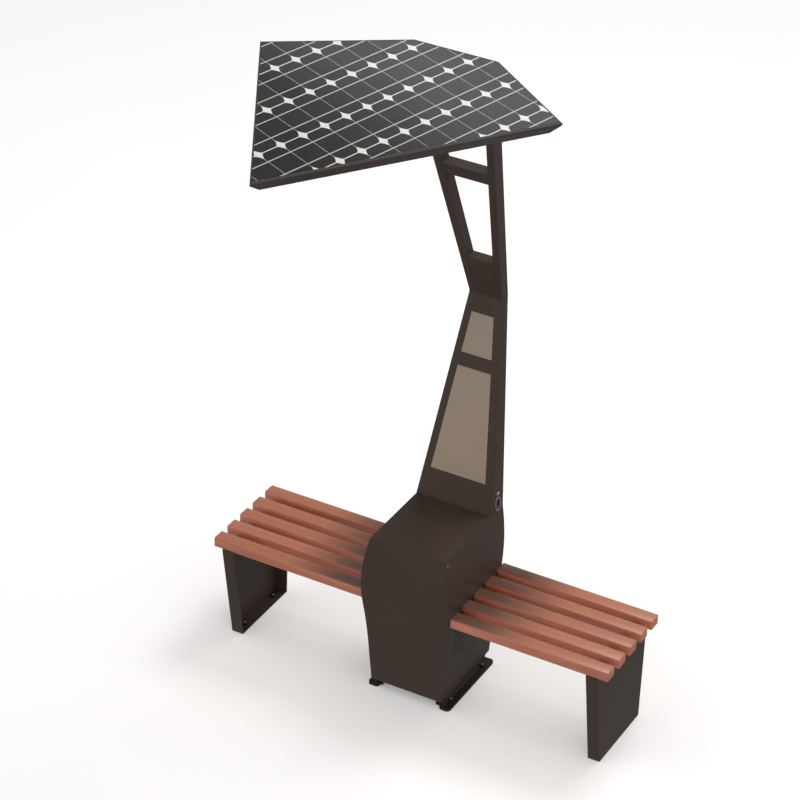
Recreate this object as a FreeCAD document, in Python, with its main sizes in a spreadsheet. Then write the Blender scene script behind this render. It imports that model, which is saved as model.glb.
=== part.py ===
import FreeCAD, Part
import math
import os
import sys

import Sketcher

# Solar charging bench: a cabinet with a seat on each side, and a leaning tower that carries a solar canopy.
# Frame: X along the seats, Y from the front to the back, Z up.
# The origin is on the floor, in the middle of the cabinet's four anchor holes.

Vector = FreeCAD.Vector
doc = FreeCAD.newDocument("solar_bench")
sheet = doc.addObject("Spreadsheet::Sheet", "sizes")

# Driving dimensions in millimetres, angles in degrees. Places along Y and Z are measured from the origin.
driving = {
    "seam": 0.3,
    "overrun": 1,
    "sheet_thick": 3,
    "side_thick": 4,
    # anchor holes and the runners that hold them
    "anchor_span_x": 295,
    "anchor_span_y": 245,
    "anchor_bore": 14,
    "runner_wide": 45,
    "runner_long": 360,
    "runner_thick": 10,
    "runner_corner": 15,
    # plinth under the cabinet
    "cabinet_low": 45,
    "plinth_reach": 141,
    "plinth_rail": 30,
    "plinth_wall": 3,
    "plinth_rail_front": -100,
    "plinth_front": -172,
    "plinth_back": 160,
    "cable_entry": 40,
    "entry_clear": 2,
    "floor_fit": 0.5,
    # half widths of the cabinet and tower, seen from the front
    "foot_half": 146,
    "bend_half": 177.5,
    "bend_high": 400,
    "table_half": 153,
    "table_high": 681,
    "waist_half": 65,
    "waist_high": 1466,
    # front and back lines, seen from the side
    "front_low": -196,
    "front_sill": -201.5,
    "sill_high": 210,
    "front_belly": -218.5,
    "belly_high": 370,
    "front_top": -220,
    "tower_front_low": 121,
    "tower_front_top": 301,
    "back_face": 178,
    "back_knee": 455,
    "tower_back_top": 349,
    "tower_fit": 0.6,
    # vent of round holes in each side plate, beside the battery
    "vent_hole": 8,
    "vent_pitch": 17,
    "vent_rows": 9,
    "vent_columns": 6,
    "vent_front": -160,
    "vent_low": 236,
    # windows of the tower front
    "window_rim": 28,
    "window_low_bottom": 792,
    "window_low_top": 1194,
    "window_high_bottom": 1244,
    "window_high_top": 1399,
    "diffuser_thick": 4,
    "diffuser_lap": 9,
    "diffuser_fit": 0.5,
    "led_board_thick": 2,
    "led_board_rim": 40,
    "slab_margin": 60,
    # rear frame, door, hinges and lock
    "door_wide": 220,
    "door_tall": 330,
    "door_low": 85,
    "door_gap": 2.5,
    "door_fold": 14,
    "frame_fold": 15,
    "hinge_leaf_wide": 26,
    "hinge_leaf_thick": 2,
    "hinge_knuckle": 10,
    "hinge_part": 20,
    "hinge_play": 0.4,
    "hinge_pin": 5,
    "hinge_fit": 0.05,
    "hinge_inset": 65,
    "hinge_stand": 1,
    "hinge_clear": 1.5,
    "lock_inset": 22,
    "lock_body": 18,
    "lock_plug": 12,
    "lock_fit": 0.05,
    "lock_flange": 25,
    "lock_flange_thick": 2.5,
    "lock_deep": 19,
    "cam_thick": 3,
    "cam_wide": 12,
    "cam_long": 34,
    "key_slot": 1.6,
    "key_slot_long": 7.7,
    "key_slot_deep": 6.5,
    # seats
    "seat_high": 450,
    "slat_thick": 38,
    "slat_wide": 52,
    "slat_pitch": 90,
    "slat_front": -222,
    "slat_overhang": 36,
    "slat_round": 2,
    "bracket_gap": 0.4,
    "bracket_thick": 4,
    "bracket_reach": 44,
    "bracket_front": -212,
    "bracket_back": 172,
    "bracket_bolt_drop": 19,
    "bracket_tab_fit": 1.5,
    "bracket_tab_drop": 6,
    "leg_outer": 770,
    "leg_fold": 47,
    "leg_thick": 4,
    "leg_top_front": -226,
    "leg_top_back": 176,
    "leg_foot_front": -155,
    "leg_foot_back": 168,
    "leg_anchor_inset": 20,
    "leg_anchor_front": -100,
    "leg_anchor_back": 108,
    # bolts
    "bolt_clear": 0.3,
    "slat_bolt": 8,
    "slat_bolt_head": 13,
    "slat_bolt_head_thick": 5,
    "slat_bolt_long": 26,
    "slat_bolt_shift": -4,
    "slat_bolt_spare": 2,
    "frame_bolt": 10,
    "frame_bolt_head": 17,
    "frame_bolt_head_thick": 6.5,
    "bolt_end": 3,
    "nut_clear": 1.8,
    # mast
    "waist_plate_thick": 8,
    "waist_plate_lip": 1,
    "mast_leg_wide": 29,
    "mast_wall": 3,
    "mast_top_half": 157,
    "mast_top_high": 2505,
    "mast_front_top": -59,
    "mast_back_top": 7.5,
    "mast_spare": 60,
    "gusset_high": 1640,
    "gusset_wall": 4,
    "bar_low": 2021,
    "bar_high": 2067,
    "head_half": 160,
    "head_front": -205,
    "head_back": 6,
    "head_thick": 8,
    "head_bolt_front": -170,
    "head_bolt_back": -72,
    # canopy, in its own tilted plane
    "canopy_high": 2548.5,
    "canopy_tilt": 4.06,
    "canopy_back_half": 157,
    "canopy_back": -3,
    "canopy_side_half": 554,
    "canopy_side": -331,
    "canopy_tip": -1311,
    "tray_deep": 40,
    "tray_lip": 6,
    "tray_wall": 3,
    "tray_undercut": 41,
    "laminate_thick": 5,
    "laminate_drop": 0.5,
    "laminate_fit": 0.5,
    "rib_wide": 44,
    "rib_wall": 2.5,
    "rib_apart": 240,
    "rib_back": -40,
    "rib_front": -985,
    "cross_rib_back": -331,
    "cross_rib_back_half": 470,
    "cross_rib_front": -660,
    "cross_rib_front_half": 310,
    "junction_box_long": 110,
    "junction_box_wide": 80,
    "junction_box_tall": 18,
    "junction_box_place": -230,
    # charging ports
    "port_place": 178,
    "port_high": 705,
    "port_wide": 42,
    "port_tall": 56,
    "port_rim": 4,
    "port_proud": 2.5,
    "port_fit": 0.4,
    "port_deep": 32,
    "port_throat": 14,
    "port_bore_rim": 3,
    "socket_back_gap": 8,
    "socket_top_gap": 2,
    "usb_wide": 13,
    "usb_tall": 6,
    "usb_apart": 18,
    "usb_slot_deep": 9,
    "lens_high": 744,
    "lens_place": 186,
    "lens_long": 18,
    "lens_tall": 9,
    "lens_deep": 8,
    # equipment inside the cabinet
    "battery_wide": 168,
    "battery_long": 260,
    "battery_tall": 205,
    "battery_front": -182,
    "battery_round": 6,
    "terminal_round": 16,
    "terminal_tall": 12,
    "terminal_apart": 110,
    "terminal_inset": 22,
    "tray_lip_tall": 22,
    "tray_sheet": 2,
    "tray_fit": 1,
    "strap_wide": 30,
    "strap_thick": 2,
    "plate_place": 20,
    "plate_low": 300,
    "plate_high": 660,
    "controller_wide": 120,
    "controller_tall": 150,
    "controller_deep": 42,
    "controller_low": 470,
    "converter_wide": 90,
    "converter_tall": 74,
    "converter_deep": 34,
    "converter_low": 335,
    "fin_count": 9,
    "fin_deep": 14,
    "fin_share": 0.45,
    "fuse_wide": 64,
    "fuse_tall": 96,
    "fuse_deep": 22,
    "fuse_low": 345,
    "fuse_place": 82,
    "fuse_base_deep": 13,
    "fuse_holder_wide": 38,
    "fuse_holder_tall": 12,
    "isolator_size": 58,
    "isolator_deep": 34,
    "isolator_place": -84,
    "isolator_low": 345,
    "knob_round": 36,
    "knob_deep": 16,
    "knob_stem": 10,
    "knob_grip_long": 30,
    "knob_grip_wide": 9,
    "knob_fit": 0.05,
    "cable_round": 6,
    "cable_rise": 30,
    "cable_drop": 27,
}
for row, (alias, number) in enumerate(driving.items(), start=1):
    sheet.set(f"A{row}", alias)
    sheet.set(f"B{row}", repr(number))
    sheet.setAlias(f"B{row}", alias)
doc.recompute()

far = "2000"  # past everything, for blocks that only cut or limit another piece
far_behind = "-2000"


def sized(text):
    """Every alias in the text is written as a cell of the sheet."""
    words = []
    word = ""
    for letter in text + " ":
        if letter.isalnum() or letter == "_":
            word += letter
        else:
            words.append("sizes." + word if word in driving else word)
            words.append(letter)
            word = ""
    return "".join(words).strip()


def value(text):
    """The number that a text of sizes stands for."""
    return float(sheet.evalExpression(sized(text).replace("sizes.", "")))


def bind(thing, **properties):
    """Bind properties to sizes. A double underscore in a name stands for the dot of a sub-property."""
    for name, text in properties.items():
        thing.setExpression(name.replace("__", "."), sized(str(text)))
    return thing


# Solids from primitives

def box(name, x, y, z):
    """A block between two places on each axis."""
    block = doc.addObject("Part::Box", name)
    bind(block, Length=f"({x[1]}) - ({x[0]})", Width=f"({y[1]}) - ({y[0]})", Height=f"({z[1]}) - ({z[0]})")
    return bind(block, Placement__Base__x=x[0], Placement__Base__y=y[0], Placement__Base__z=z[0])


axis_turns = {
    "X": FreeCAD.Rotation(Vector(0, 1, 0), 90),
    "Y": FreeCAD.Rotation(Vector(1, 0, 0), -90),
    "Z": FreeCAD.Rotation(),
}


def rod(name, axis, start, length, radius, sides=0):
    """A round or many-sided bar from a start point along an axis."""
    bar = doc.addObject("Part::Prism" if sides else "Part::Cylinder", name)
    bar.Placement = FreeCAD.Placement(Vector(), axis_turns[axis])
    if sides:
        bar.Polygon = sides
        bind(bar, Circumradius=f"({radius}) / cos(180 deg / {sides})", Height=length)
    else:
        bind(bar, Radius=radius, Height=length)
    return bind(bar, Placement__Base__x=start[0], Placement__Base__y=start[1], Placement__Base__z=start[2])


# Solids from sketches

def draw_chain(sketch, points):
    """Lines and bows through the points. A bow starts along the heading of what comes before it."""
    pieces = []
    heading = None
    last = None
    for x, y, kind in points:
        here = Vector(value(x), value(y), 0)
        if last is not None and kind == "bow":
            chord = here - last
            turn = heading.getAngle(chord)
            side = math.copysign(1, heading.cross(chord).z)
            middle = (last + here) * 0.5 + Vector(chord.y, -chord.x, 0) * (side * 0.5 * math.tan(turn / 2))
            curve = sketch.addGeometry(Part.Arc(last, middle, here))
            start_end = 1 if (sketch.getPoint(curve, 1) - last).Length < 1e-6 else 2
            pieces.append((curve, start_end, 3 - start_end, kind))
            heading = chord * (2 * heading.dot(chord) / chord.dot(chord)) - heading
        elif last is not None:
            pieces.append((sketch.addGeometry(Part.LineSegment(last, here)), 1, 2, kind))
            heading = here - last
        last = here
    for before, after in zip(pieces, pieces[1:]):
        joint = "Tangent" if after[3] == "bow" else "Coincident"
        sketch.addConstraint(Sketcher.Constraint(joint, before[0], before[2], after[0], after[1]))
    ends = [(pieces[0][0], pieces[0][1])] + [(piece[0], piece[2]) for piece in pieces]
    for (curve, end), (x, y, kind) in zip(ends, points):
        for direction, text in (("DistanceX", x), ("DistanceY", y)):
            index = sketch.addConstraint(Sketcher.Constraint(direction, curve, end, value(text)))
            sketch.setExpression(f"Constraints[{index}]", sized(text))
    return ends[0], ends[-1]


def close(sketch, first, second):
    """A straight line between two ends."""
    line = sketch.addGeometry(Part.LineSegment(sketch.getPoint(*first), sketch.getPoint(*second)))
    sketch.addConstraint(Sketcher.Constraint("Coincident", line, 1, *first))
    sketch.addConstraint(Sketcher.Constraint("Coincident", line, 2, *second))


def new_sketch(name, plane):
    """A sketch on the XY plane, on XZ (seen from the front) or on YZ (seen from +X)."""
    sketch = doc.addObject("Sketcher::SketchObject", name)
    turns = {
        "XY": FreeCAD.Rotation(),
        "XZ": FreeCAD.Rotation(Vector(1, 0, 0), 90),
        "YZ": FreeCAD.Rotation(Vector(1, 1, 1), 120),
    }
    sketch.Placement = FreeCAD.Placement(Vector(), turns[plane])
    return sketch


def outline(name, plane, *loops):
    """A sketch of closed loops, each a list of points."""
    sketch = new_sketch(name, plane)
    for points in loops:
        first, last = draw_chain(sketch, [point if len(point) == 3 else (*point, "line") for point in points])
        close(sketch, last, first)
    return sketch


def ribbon(name, plane, points, thick):
    """A sketch of a strip: a chain of lines and bows, and the same chain moved sideways by a thickness."""
    sketch = new_sketch(name, plane)
    here = draw_chain(sketch, points)
    there = draw_chain(sketch, [(f"{x} + ({thick})", y, kind) for x, y, kind in points])
    close(sketch, here[0], there[0])
    close(sketch, here[1], there[1])
    return sketch


plane_normals = {"XY": Vector(0, 0, 1), "XZ": Vector(0, 1, 0), "YZ": Vector(1, 0, 0)}


def sweep(name, sketch, plane, low, high):
    """The sketch carried square to its plane, from one place to another."""
    solid = doc.addObject("Part::Extrusion", name)
    solid.Base = sketch
    solid.DirMode = "Custom"
    solid.Dir = plane_normals[plane]
    solid.Solid = True
    return bind(solid, LengthFwd=high, LengthRev=f"-({low})")


def common(name, *shapes):
    """What the shapes share."""
    joined = doc.addObject("Part::MultiCommon", name)
    joined.Shapes = list(shapes)
    return joined


def fuse(name, *shapes):
    """The shapes as one."""
    joined = doc.addObject("Part::MultiFuse", name)
    joined.Shapes = list(shapes)
    return joined


def cut(name, base, *tools):
    """The base without the tools."""
    result = doc.addObject("Part::Cut", name)
    result.Base = base
    result.Tool = tools[0] if len(tools) == 1 else fuse(name + "_cutters", *tools)
    return result


def group(name, *shapes):
    """Separate solids kept as one piece of the model."""
    together = doc.addObject("Part::Compound", name)
    together.Links = list(shapes)
    return together


def mirrored(name, source):
    """The same piece on the other side of the YZ plane."""
    twin = doc.addObject("Part::Mirroring", name)
    twin.Source = source
    twin.Base = Vector()
    twin.Normal = Vector(1, 0, 0)
    return twin


nodes = []


def node(thing, name=None):
    """Keep the object as a piece of the part, under its label."""
    thing.Label = name or thing.Name
    nodes.append(thing)
    return thing


# Outlines that many pieces share

side_line = [
    ("foot_half", "cabinet_low", "line"),
    ("bend_half", "bend_high", "line"),
    ("table_half", "table_high", "bow"),
    ("waist_half", "waist_high", "line"),
]
front_line = [
    ("front_low", "cabinet_low", "line"),
    ("front_sill", "sill_high", "line"),
    ("front_belly", "belly_high", "bow"),
    ("front_top", "table_high - sheet_thick - seam", "bow"),
]
table_under = "table_high - sheet_thick - seam"
tower_top = "waist_high - seam"
lean = "(tower_front_top - tower_front_low) / (waist_high - table_high)"
back_lean = "(tower_back_top - back_face) / (waist_high - back_knee)"


def tower_front_at(high):
    """Place of the tower's front face at a height."""
    return f"tower_front_low + {lean} * ({high} - table_high)"


def tower_back_at(high):
    """Place of the tower's back face at a height."""
    return f"back_face + {back_lean} * ({high} - back_knee)"


def tower_half_at(high):
    """Half width of the tower at a height."""
    return f"table_half - (table_half - waist_half) * ({high} - table_high) / (waist_high - table_high)"


def width_profile(name, inset):
    """The cabinet and tower seen from the front, drawn in by an inset on both sides."""
    sketch = new_sketch(name, "XZ")
    right = draw_chain(sketch, [(f"{x} - ({inset})", high, kind) for x, high, kind in side_line])
    left = draw_chain(sketch, [(f"-{x} + ({inset})", high, kind) for x, high, kind in side_line])
    close(sketch, right[0], left[0])
    close(sketch, right[1], left[1])
    return sweep(name + "_block", sketch, "XZ", far_behind, far)


between_sides = "side_thick + seam"
outer_block = width_profile("width_outer", "0")
inner_block = width_profile("width_inner", between_sides)


def across(name, width_block, side_points):
    """A piece as wide as a width block allows, with a side view of its own."""
    strip = sweep(name + "_strip", outline(name + "_view", "YZ", side_points), "YZ", far_behind, far)
    return common(name, width_block, strip)


def across_ribbon(name, width_block, points, thick):
    """A bent sheet as wide as a width block allows."""
    strip = sweep(name + "_strip", ribbon(name + "_view", "YZ", points, thick), "YZ", far_behind, far)
    return common(name, width_block, strip)


# Base

def build_runner():
    """Flat floor runner with rounded corners and two anchor holes."""
    plate = box("runner_plate",
                ("(anchor_span_x - runner_wide) / 2", "(anchor_span_x + runner_wide) / 2"),
                ("-runner_long / 2", "runner_long / 2"),
                ("0", "runner_thick"))
    rounded = doc.addObject("Part::Fillet", "runner_rounded")
    rounded.Base = plate
    doc.recompute()
    upright = [index for index, edge in enumerate(plate.Shape.Edges, start=1)
               if abs(edge.tangentAt(edge.FirstParameter).z) > 0.99]
    corner = value("runner_corner")
    rounded.Edges = [(index, corner, corner) for index in upright]
    holes = [rod(f"runner_hole_{end}", "Z", ("anchor_span_x / 2", f"{sign}anchor_span_y / 2", "-overrun"),
                 "runner_thick + 2 * overrun", "anchor_bore / 2")
             for end, sign in (("front", "-"), ("back", ""))]
    right = node(cut("foot_runner_right", rounded, *holes))
    node(mirrored("foot_runner_left", right))


def build_plinth():
    """Welded frame of box rails between the runners and the cabinet."""
    high = ("runner_thick", "cabinet_low")
    wall_high = ("runner_thick + plinth_wall", "cabinet_low - plinth_wall")
    rails = []
    hollows = []
    for side, sign in (("right", 1), ("left", -1)):
        x = ("plinth_reach - plinth_rail", "plinth_reach")
        hollow_x = ("plinth_reach - plinth_rail + plinth_wall", "plinth_reach - plinth_wall")
        if sign < 0:
            x = ("-plinth_reach", "-plinth_reach + plinth_rail")
            hollow_x = ("-plinth_reach + plinth_wall", "-plinth_reach + plinth_rail - plinth_wall")
        rails.append(box(f"plinth_{side}", x, ("plinth_front", "plinth_back"), high))
        hollows.append(box(f"plinth_{side}_hollow", hollow_x,
                           ("plinth_front - overrun", "plinth_back + overrun"), wall_high))
    for end, y in (("front", ("plinth_rail_front", "plinth_rail_front + plinth_rail")),
                   ("back", ("plinth_back - plinth_rail", "plinth_back"))):
        rails.append(box(f"plinth_{end}", ("-plinth_reach", "plinth_reach"), y, high))
    node(cut("plinth_frame", fuse("plinth_rails", *rails), *hollows))


def build_floor():
    """Cabinet floor with a round entry for a ground cable."""
    pan = across("floor_pan", inner_block, [
        ("front_low + sheet_thick + floor_fit", "cabinet_low"),
        ("back_face - sheet_thick - seam", "cabinet_low"),
        ("back_face - sheet_thick - seam", "cabinet_low + sheet_thick"),
        ("front_low + sheet_thick + floor_fit", "cabinet_low + sheet_thick"),
    ])
    entry_y = "plinth_back - plinth_rail - cable_entry / 2 - entry_clear"
    entry = rod("floor_entry", "Z", ("0", entry_y, "cabinet_low - overrun"), "sheet_thick + 2 * overrun",
                "cable_entry / 2")
    node(cut("cabinet_floor", pan, entry))


# Cabinet and tower sheets

def pill(name, place, high, wide, tall, x):
    """An upright pill shape carried along X."""
    round_part = [rod(f"{name}_{end}", "X", (x[0], place, f"{high} {sign} (({tall}) - ({wide})) / 2"),
                      f"({x[1]}) - ({x[0]})", f"({wide}) / 2")
                  for end, sign in (("low", "-"), ("top", "+"))]
    middle = box(name + "_middle", x, (f"{place} - ({wide}) / 2", f"{place} + ({wide}) / 2"),
                 (f"{high} - (({tall}) - ({wide})) / 2", f"{high} + (({tall}) - ({wide})) / 2"))
    return fuse(name, middle, *round_part)


def lens_block(name, grow, x):
    """The lens as a block, larger all round by a margin."""
    return box(name, x, (f"lens_place - lens_long / 2 - {grow}", f"lens_place + lens_long / 2 + {grow}"),
               (f"lens_high - lens_tall / 2 - {grow}", f"lens_high + lens_tall / 2 + {grow}"))


bracket_bolt_high = "seat_high - bracket_bolt_drop"
row_step = "cos(30 deg)"  # rows of a staggered pattern, as a share of its pitch


tab_gaps = (0, 3)  # gaps between slats in which the bracket's tabs stand


def gap_middle(number):
    """Middle of a gap between two slats, counted from the front."""
    return f"slat_front + slat_wide + (slat_pitch - slat_wide) / 2 + {number} * slat_pitch"


def build_sides():
    """One bent sheet each side, from the cabinet's foot to the waist, with its holes and its vent."""
    thickness = ribbon("side_edge_view", "XZ", side_line, "-side_thick")
    front_clear = "sheet_thick + seam"
    tower_clear = "sheet_thick + tower_fit"
    view = [(f"{y} + {front_clear}", high, kind) for y, high, kind in front_line]
    view += [
        (f"tower_front_low + {tower_clear}", table_under),
        (f"{tower_front_at(tower_top)} + {tower_clear}", tower_top),
        (tower_back_at(tower_top), tower_top),
        ("back_face", "back_knee"),
        ("back_face", "cabinet_low"),
    ]
    blank = common("side_blank", sweep("side_edge", thickness, "XZ", far_behind, far),
                   sweep("side_face", outline("side_face_view", "YZ", view), "YZ", "0", far))
    through = ("waist_half", far)
    holes = [pill("side_port_hole", "port_place", "port_high", "port_wide - 2 * port_rim",
                  "port_tall - 2 * port_rim", through),
             lens_block("side_lens_hole", "port_fit", through)]
    for number in tab_gaps:
        holes.append(rod(f"side_bolt_hole_{number}", "X",
                         ("waist_half", gap_middle(number), bracket_bolt_high), "bend_half",
                         "frame_bolt / 2 + bolt_clear"))
    for row in range(int(value("vent_rows"))):
        for column in range(int(value("vent_columns"))):
            place = f"vent_front + ({column} + {row % 2} / 2) * vent_pitch"
            high = f"vent_low + {row} * vent_pitch * {row_step}"
            holes.append(rod(f"vent_hole_{row}_{column}", "X", ("waist_half", place, high), "bend_half",
                             "vent_hole / 2"))
    right = node(cut("side_plate_right", blank, *holes))
    node(mirrored("side_plate_left", right))


def build_front():
    """Bowed front panel, flat table top and the tower's front with its two windows."""
    node(across_ribbon("front_panel", outer_block, front_line, "sheet_thick"))
    node(across("table_top", outer_block, [
        ("front_top", "table_high - sheet_thick"),
        ("tower_front_low + sheet_thick", "table_high - sheet_thick"),
        ("tower_front_low + sheet_thick", "table_high"),
        ("front_top", "table_high"),
    ]))
    blank = across_ribbon("tower_front_blank", outer_block, [
        (tower_front_at("(table_high + seam)"), "table_high + seam", "line"),
        (tower_front_at(f"({tower_top})"), tower_top, "line"),
    ], "sheet_thick")
    windows = [window_block(f"window_{which}", which, "0", "0", far) for which in ("low", "high")]
    node(cut("tower_front", blank, *windows))


def window_block(name, which, grow, y_low, y_high):
    """A window's tapered shape, larger all round by a margin, carried along Y."""
    points = []
    for sign, edge in (("", "bottom"), ("", "top"), ("-", "top"), ("-", "bottom")):
        step = "-" if edge == "bottom" else "+"
        high = f"(window_{which}_{edge} {step} ({grow}))"
        points.append((f"{sign}({tower_half_at(high)} - window_rim + ({grow}))", high))
    return sweep(name, outline(name + "_view", "XZ", points), "XZ", y_low, y_high)


def build_light_panels():
    """A light panel in each window: a plate behind the sheet and a step that fills the window."""
    boards = []
    for which in ("low", "high"):
        low = f"window_{which}_bottom - slab_margin"
        top = f"window_{which}_top + slab_margin"
        behind = [(f"{tower_front_at(f'({low})')} + sheet_thick + seam", low, "line"),
                  (f"{tower_front_at(f'({top})')} + sheet_thick + seam", top, "line")]
        plate = common(f"diffuser_{which}_plate",
                       window_block(f"diffuser_{which}_lap", which, "diffuser_lap", "0", far),
                       across_ribbon(f"diffuser_{which}_slab", outer_block, behind, "diffuser_thick"))
        flush = [(f"{tower_front_at(f'({low})')} + diffuser_fit", low, "line"),
                 (f"{tower_front_at(f'({top})')} + diffuser_fit", top, "line")]
        step = common(f"diffuser_{which}_step",
                      window_block(f"diffuser_{which}_fill", which, "-diffuser_fit", "0", far),
                      across_ribbon(f"diffuser_{which}_front", outer_block, flush, "sheet_thick"))
        node(fuse(f"diffuser_{'lower' if which == 'low' else 'upper'}", plate, step))
        inside = "sheet_thick + led_board_thick + seam"
        board_line = [(f"{tower_back_at(f'({low})')} - ({inside})", low, "line"),
                      (f"{tower_back_at(f'({top})')} - ({inside})", top, "line")]
        size = window_block(f"led_board_{which}_size", which, "window_rim - led_board_rim", "0", far)
        slab = across_ribbon(f"led_board_{which}_slab", inner_block, board_line, "led_board_thick")
        boards.append(common(f"led_board_{which}", size, slab))
    node(group("led_boards", *boards))


def build_back():
    """Back of the cabinet with the door opening, and the leaning back cover of the tower."""
    blank = across("rear_blank", inner_block, [
        ("back_face - sheet_thick", "cabinet_low"),
        ("back_face", "cabinet_low"),
        ("back_face", "back_knee - seam"),
        ("back_face - sheet_thick", "back_knee - seam"),
    ])
    side = "door_wide / 2 + door_gap"
    low = "door_low - door_gap"
    top = "door_low + door_tall + door_gap"
    fold = box("rear_fold", (f"-({side}) - sheet_thick", f"{side} + sheet_thick"),
               ("back_face - frame_fold", "back_face - sheet_thick / 2"),
               (f"{low} - sheet_thick", f"{top} + sheet_thick"))
    opening = box("rear_opening", (f"-({side})", side),
                  ("back_face - sheet_thick - frame_fold - overrun", "back_face + overrun"), (low, top))
    node(cut("rear_frame", fuse("rear_folded", blank, fold), opening))
    node(across_ribbon("tower_back", inner_block, [
        (tower_back_at("(back_knee + seam)") + " - sheet_thick", "back_knee + seam", "line"),
        (tower_back_at(f"({tower_top})") + " - sheet_thick", tower_top, "line"),
    ], "sheet_thick"))


# Door, hinges and lock

hinge_x = "-(door_wide + door_gap) / 2"
hinge_y = "back_face + hinge_knuckle / 2 + hinge_stand"
lock_x = "door_wide / 2 - lock_inset"
lock_z = "door_low + door_tall / 2"


def build_door():
    """Folded door panel with a round hole for the lock."""
    y_in = "back_face - sheet_thick - door_fold"
    outer = box("door_outer", ("-door_wide / 2", "door_wide / 2"), (y_in, "back_face"),
                ("door_low", "door_low + door_tall"))
    hollow = box("door_hollow", ("-door_wide / 2 + sheet_thick", "door_wide / 2 - sheet_thick"),
                 (f"{y_in} - overrun", "back_face - sheet_thick"),
                 ("door_low + sheet_thick", "door_low + door_tall - sheet_thick"))
    hole = rod("door_lock_hole", "Y", (lock_x, "back_face - sheet_thick - overrun", lock_z),
               "sheet_thick + 2 * overrun", "lock_body / 2 + lock_fit")
    node(cut("rear_door", outer, hollow, hole))


def hinge_heights():
    """Lower edge of each hinge."""
    length = "3 * hinge_part"
    return {"low": f"door_low + hinge_inset - {length} / 2",
            "high": f"door_low + door_tall - hinge_inset - {length} / 2"}


def build_hinges():
    """Two butt hinges with knuckles outside the sheet: leaves on the frame, leaves on the door, and pins."""
    on_frame = []
    on_door = []
    pins = []
    face = ("back_face", "back_face + hinge_leaf_thick")
    clear = "hinge_knuckle / 2 + hinge_clear"
    for which, base in hinge_heights().items():
        full = (base, f"{base} + 3 * hinge_part")
        frame_leaf = [box(f"hinge_{which}_frame_leaf",
                          (f"{hinge_x} - hinge_leaf_wide", f"{hinge_x} - {clear}"), face, full)]
        door_leaf = [box(f"hinge_{which}_door_leaf",
                         (f"{hinge_x} + {clear}", f"{hinge_x} + hinge_leaf_wide"), face, full)]
        bores = {"frame": [], "door": []}
        for step in range(3):
            owner, leaf = ("door", door_leaf) if step == 1 else ("frame", frame_leaf)
            low = f"{base} + {step} * hinge_part" + (" + hinge_play" if step == 1 else "")
            tall = "hinge_part - 2 * hinge_play" if step == 1 else "hinge_part"
            leaf.append(rod(f"hinge_{which}_knuckle_{step}", "Z", (hinge_x, hinge_y, low), tall,
                            "hinge_knuckle / 2"))
            reach = (f"{hinge_x} - {clear} - overrun", hinge_x)
            if owner == "door":
                reach = (hinge_x, f"{hinge_x} + {clear} + overrun")
            leaf.append(box(f"hinge_{which}_tongue_{step}", reach, face, (low, f"{low} + {tall}")))
            fit = "hinge_fit" if owner == "door" else "0"
            bores[owner].append(rod(f"hinge_{which}_bore_{step}", "Z", (hinge_x, hinge_y, f"{low} - overrun"),
                                    f"{tall} + 2 * overrun", f"hinge_pin / 2 + {fit}"))
        on_frame.append(cut(f"hinge_{which}_on_frame", fuse(f"hinge_{which}_frame_shape", *frame_leaf),
                            *bores["frame"]))
        on_door.append(cut(f"hinge_{which}_on_door", fuse(f"hinge_{which}_door_shape", *door_leaf),
                           *bores["door"]))
        pins.append(rod(f"hinge_{which}_pin", "Z", (hinge_x, hinge_y, base), "3 * hinge_part",
                        "hinge_pin / 2"))
    node(group("hinge_frame_leaves", *on_frame))
    node(group("hinge_door_leaves", *on_door))
    node(group("hinge_pins", *pins))


def build_lock():
    """Cylinder lock in the door: a housing with a flange, and a plug that turns with its cam."""
    inner_end = "back_face - sheet_thick - lock_deep"
    housing = fuse("lock_housing_shape",
                   rod("lock_flange_disc", "Y", (lock_x, "back_face", lock_z), "lock_flange_thick",
                       "lock_flange / 2"),
                   rod("lock_tube", "Y", (lock_x, inner_end, lock_z), "lock_deep + sheet_thick + overrun",
                       "lock_body / 2"))
    node(cut("lock_housing", housing,
             rod("lock_bore", "Y", (lock_x, f"{inner_end} - overrun", lock_z),
                 "lock_deep + sheet_thick + lock_flange_thick + 2 * overrun", "lock_plug / 2 + lock_fit")))
    cam_y = (f"{inner_end} - seam - cam_thick", f"{inner_end} - seam")
    cam = box("lock_cam", (f"{lock_x} - cam_wide / 2", f"{lock_x} + cam_wide / 2"), cam_y,
              (f"{lock_z} - cam_wide / 2", f"{lock_z} + cam_long"))
    core = rod("lock_core", "Y", (lock_x, cam_y[0], lock_z),
               "lock_deep + sheet_thick + lock_flange_thick + cam_thick", "lock_plug / 2")
    slot = box("lock_key_slot", (f"{lock_x} - key_slot / 2", f"{lock_x} + key_slot / 2"),
               ("back_face + lock_flange_thick - key_slot_deep", "back_face + lock_flange_thick + overrun"),
               (f"{lock_z} - key_slot_long / 2", f"{lock_z} + key_slot_long / 2"))
    node(cut("lock_plug", fuse("lock_plug_shape", core, cam), slot))


# Seats

def slat_place(number):
    """Front edge of a slat, counted from the front."""
    return f"slat_front + {number} * slat_pitch"


slat_under = "seat_high - slat_thick"


def seat_start():
    """Where slats and brackets start: just off the widest place of the side plate."""
    run = "(bend_high - cabinet_low)"
    rise = "(bend_half - foot_half)"
    chord_x = "(table_half - bend_half)"
    chord_z = "(table_high - bend_high)"
    tilt = f"(atan2({rise}; {run}))"
    turn = f"({tilt} + atan2(-{chord_x}; {chord_z}))"
    radius = f"(sqrt({chord_x} * {chord_x} + {chord_z} * {chord_z}) / (2 * sin({turn})))"
    return f"(bend_half + {radius} * (1 - cos({tilt})) + bracket_gap)"


seat_start_x = seat_start()


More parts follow.
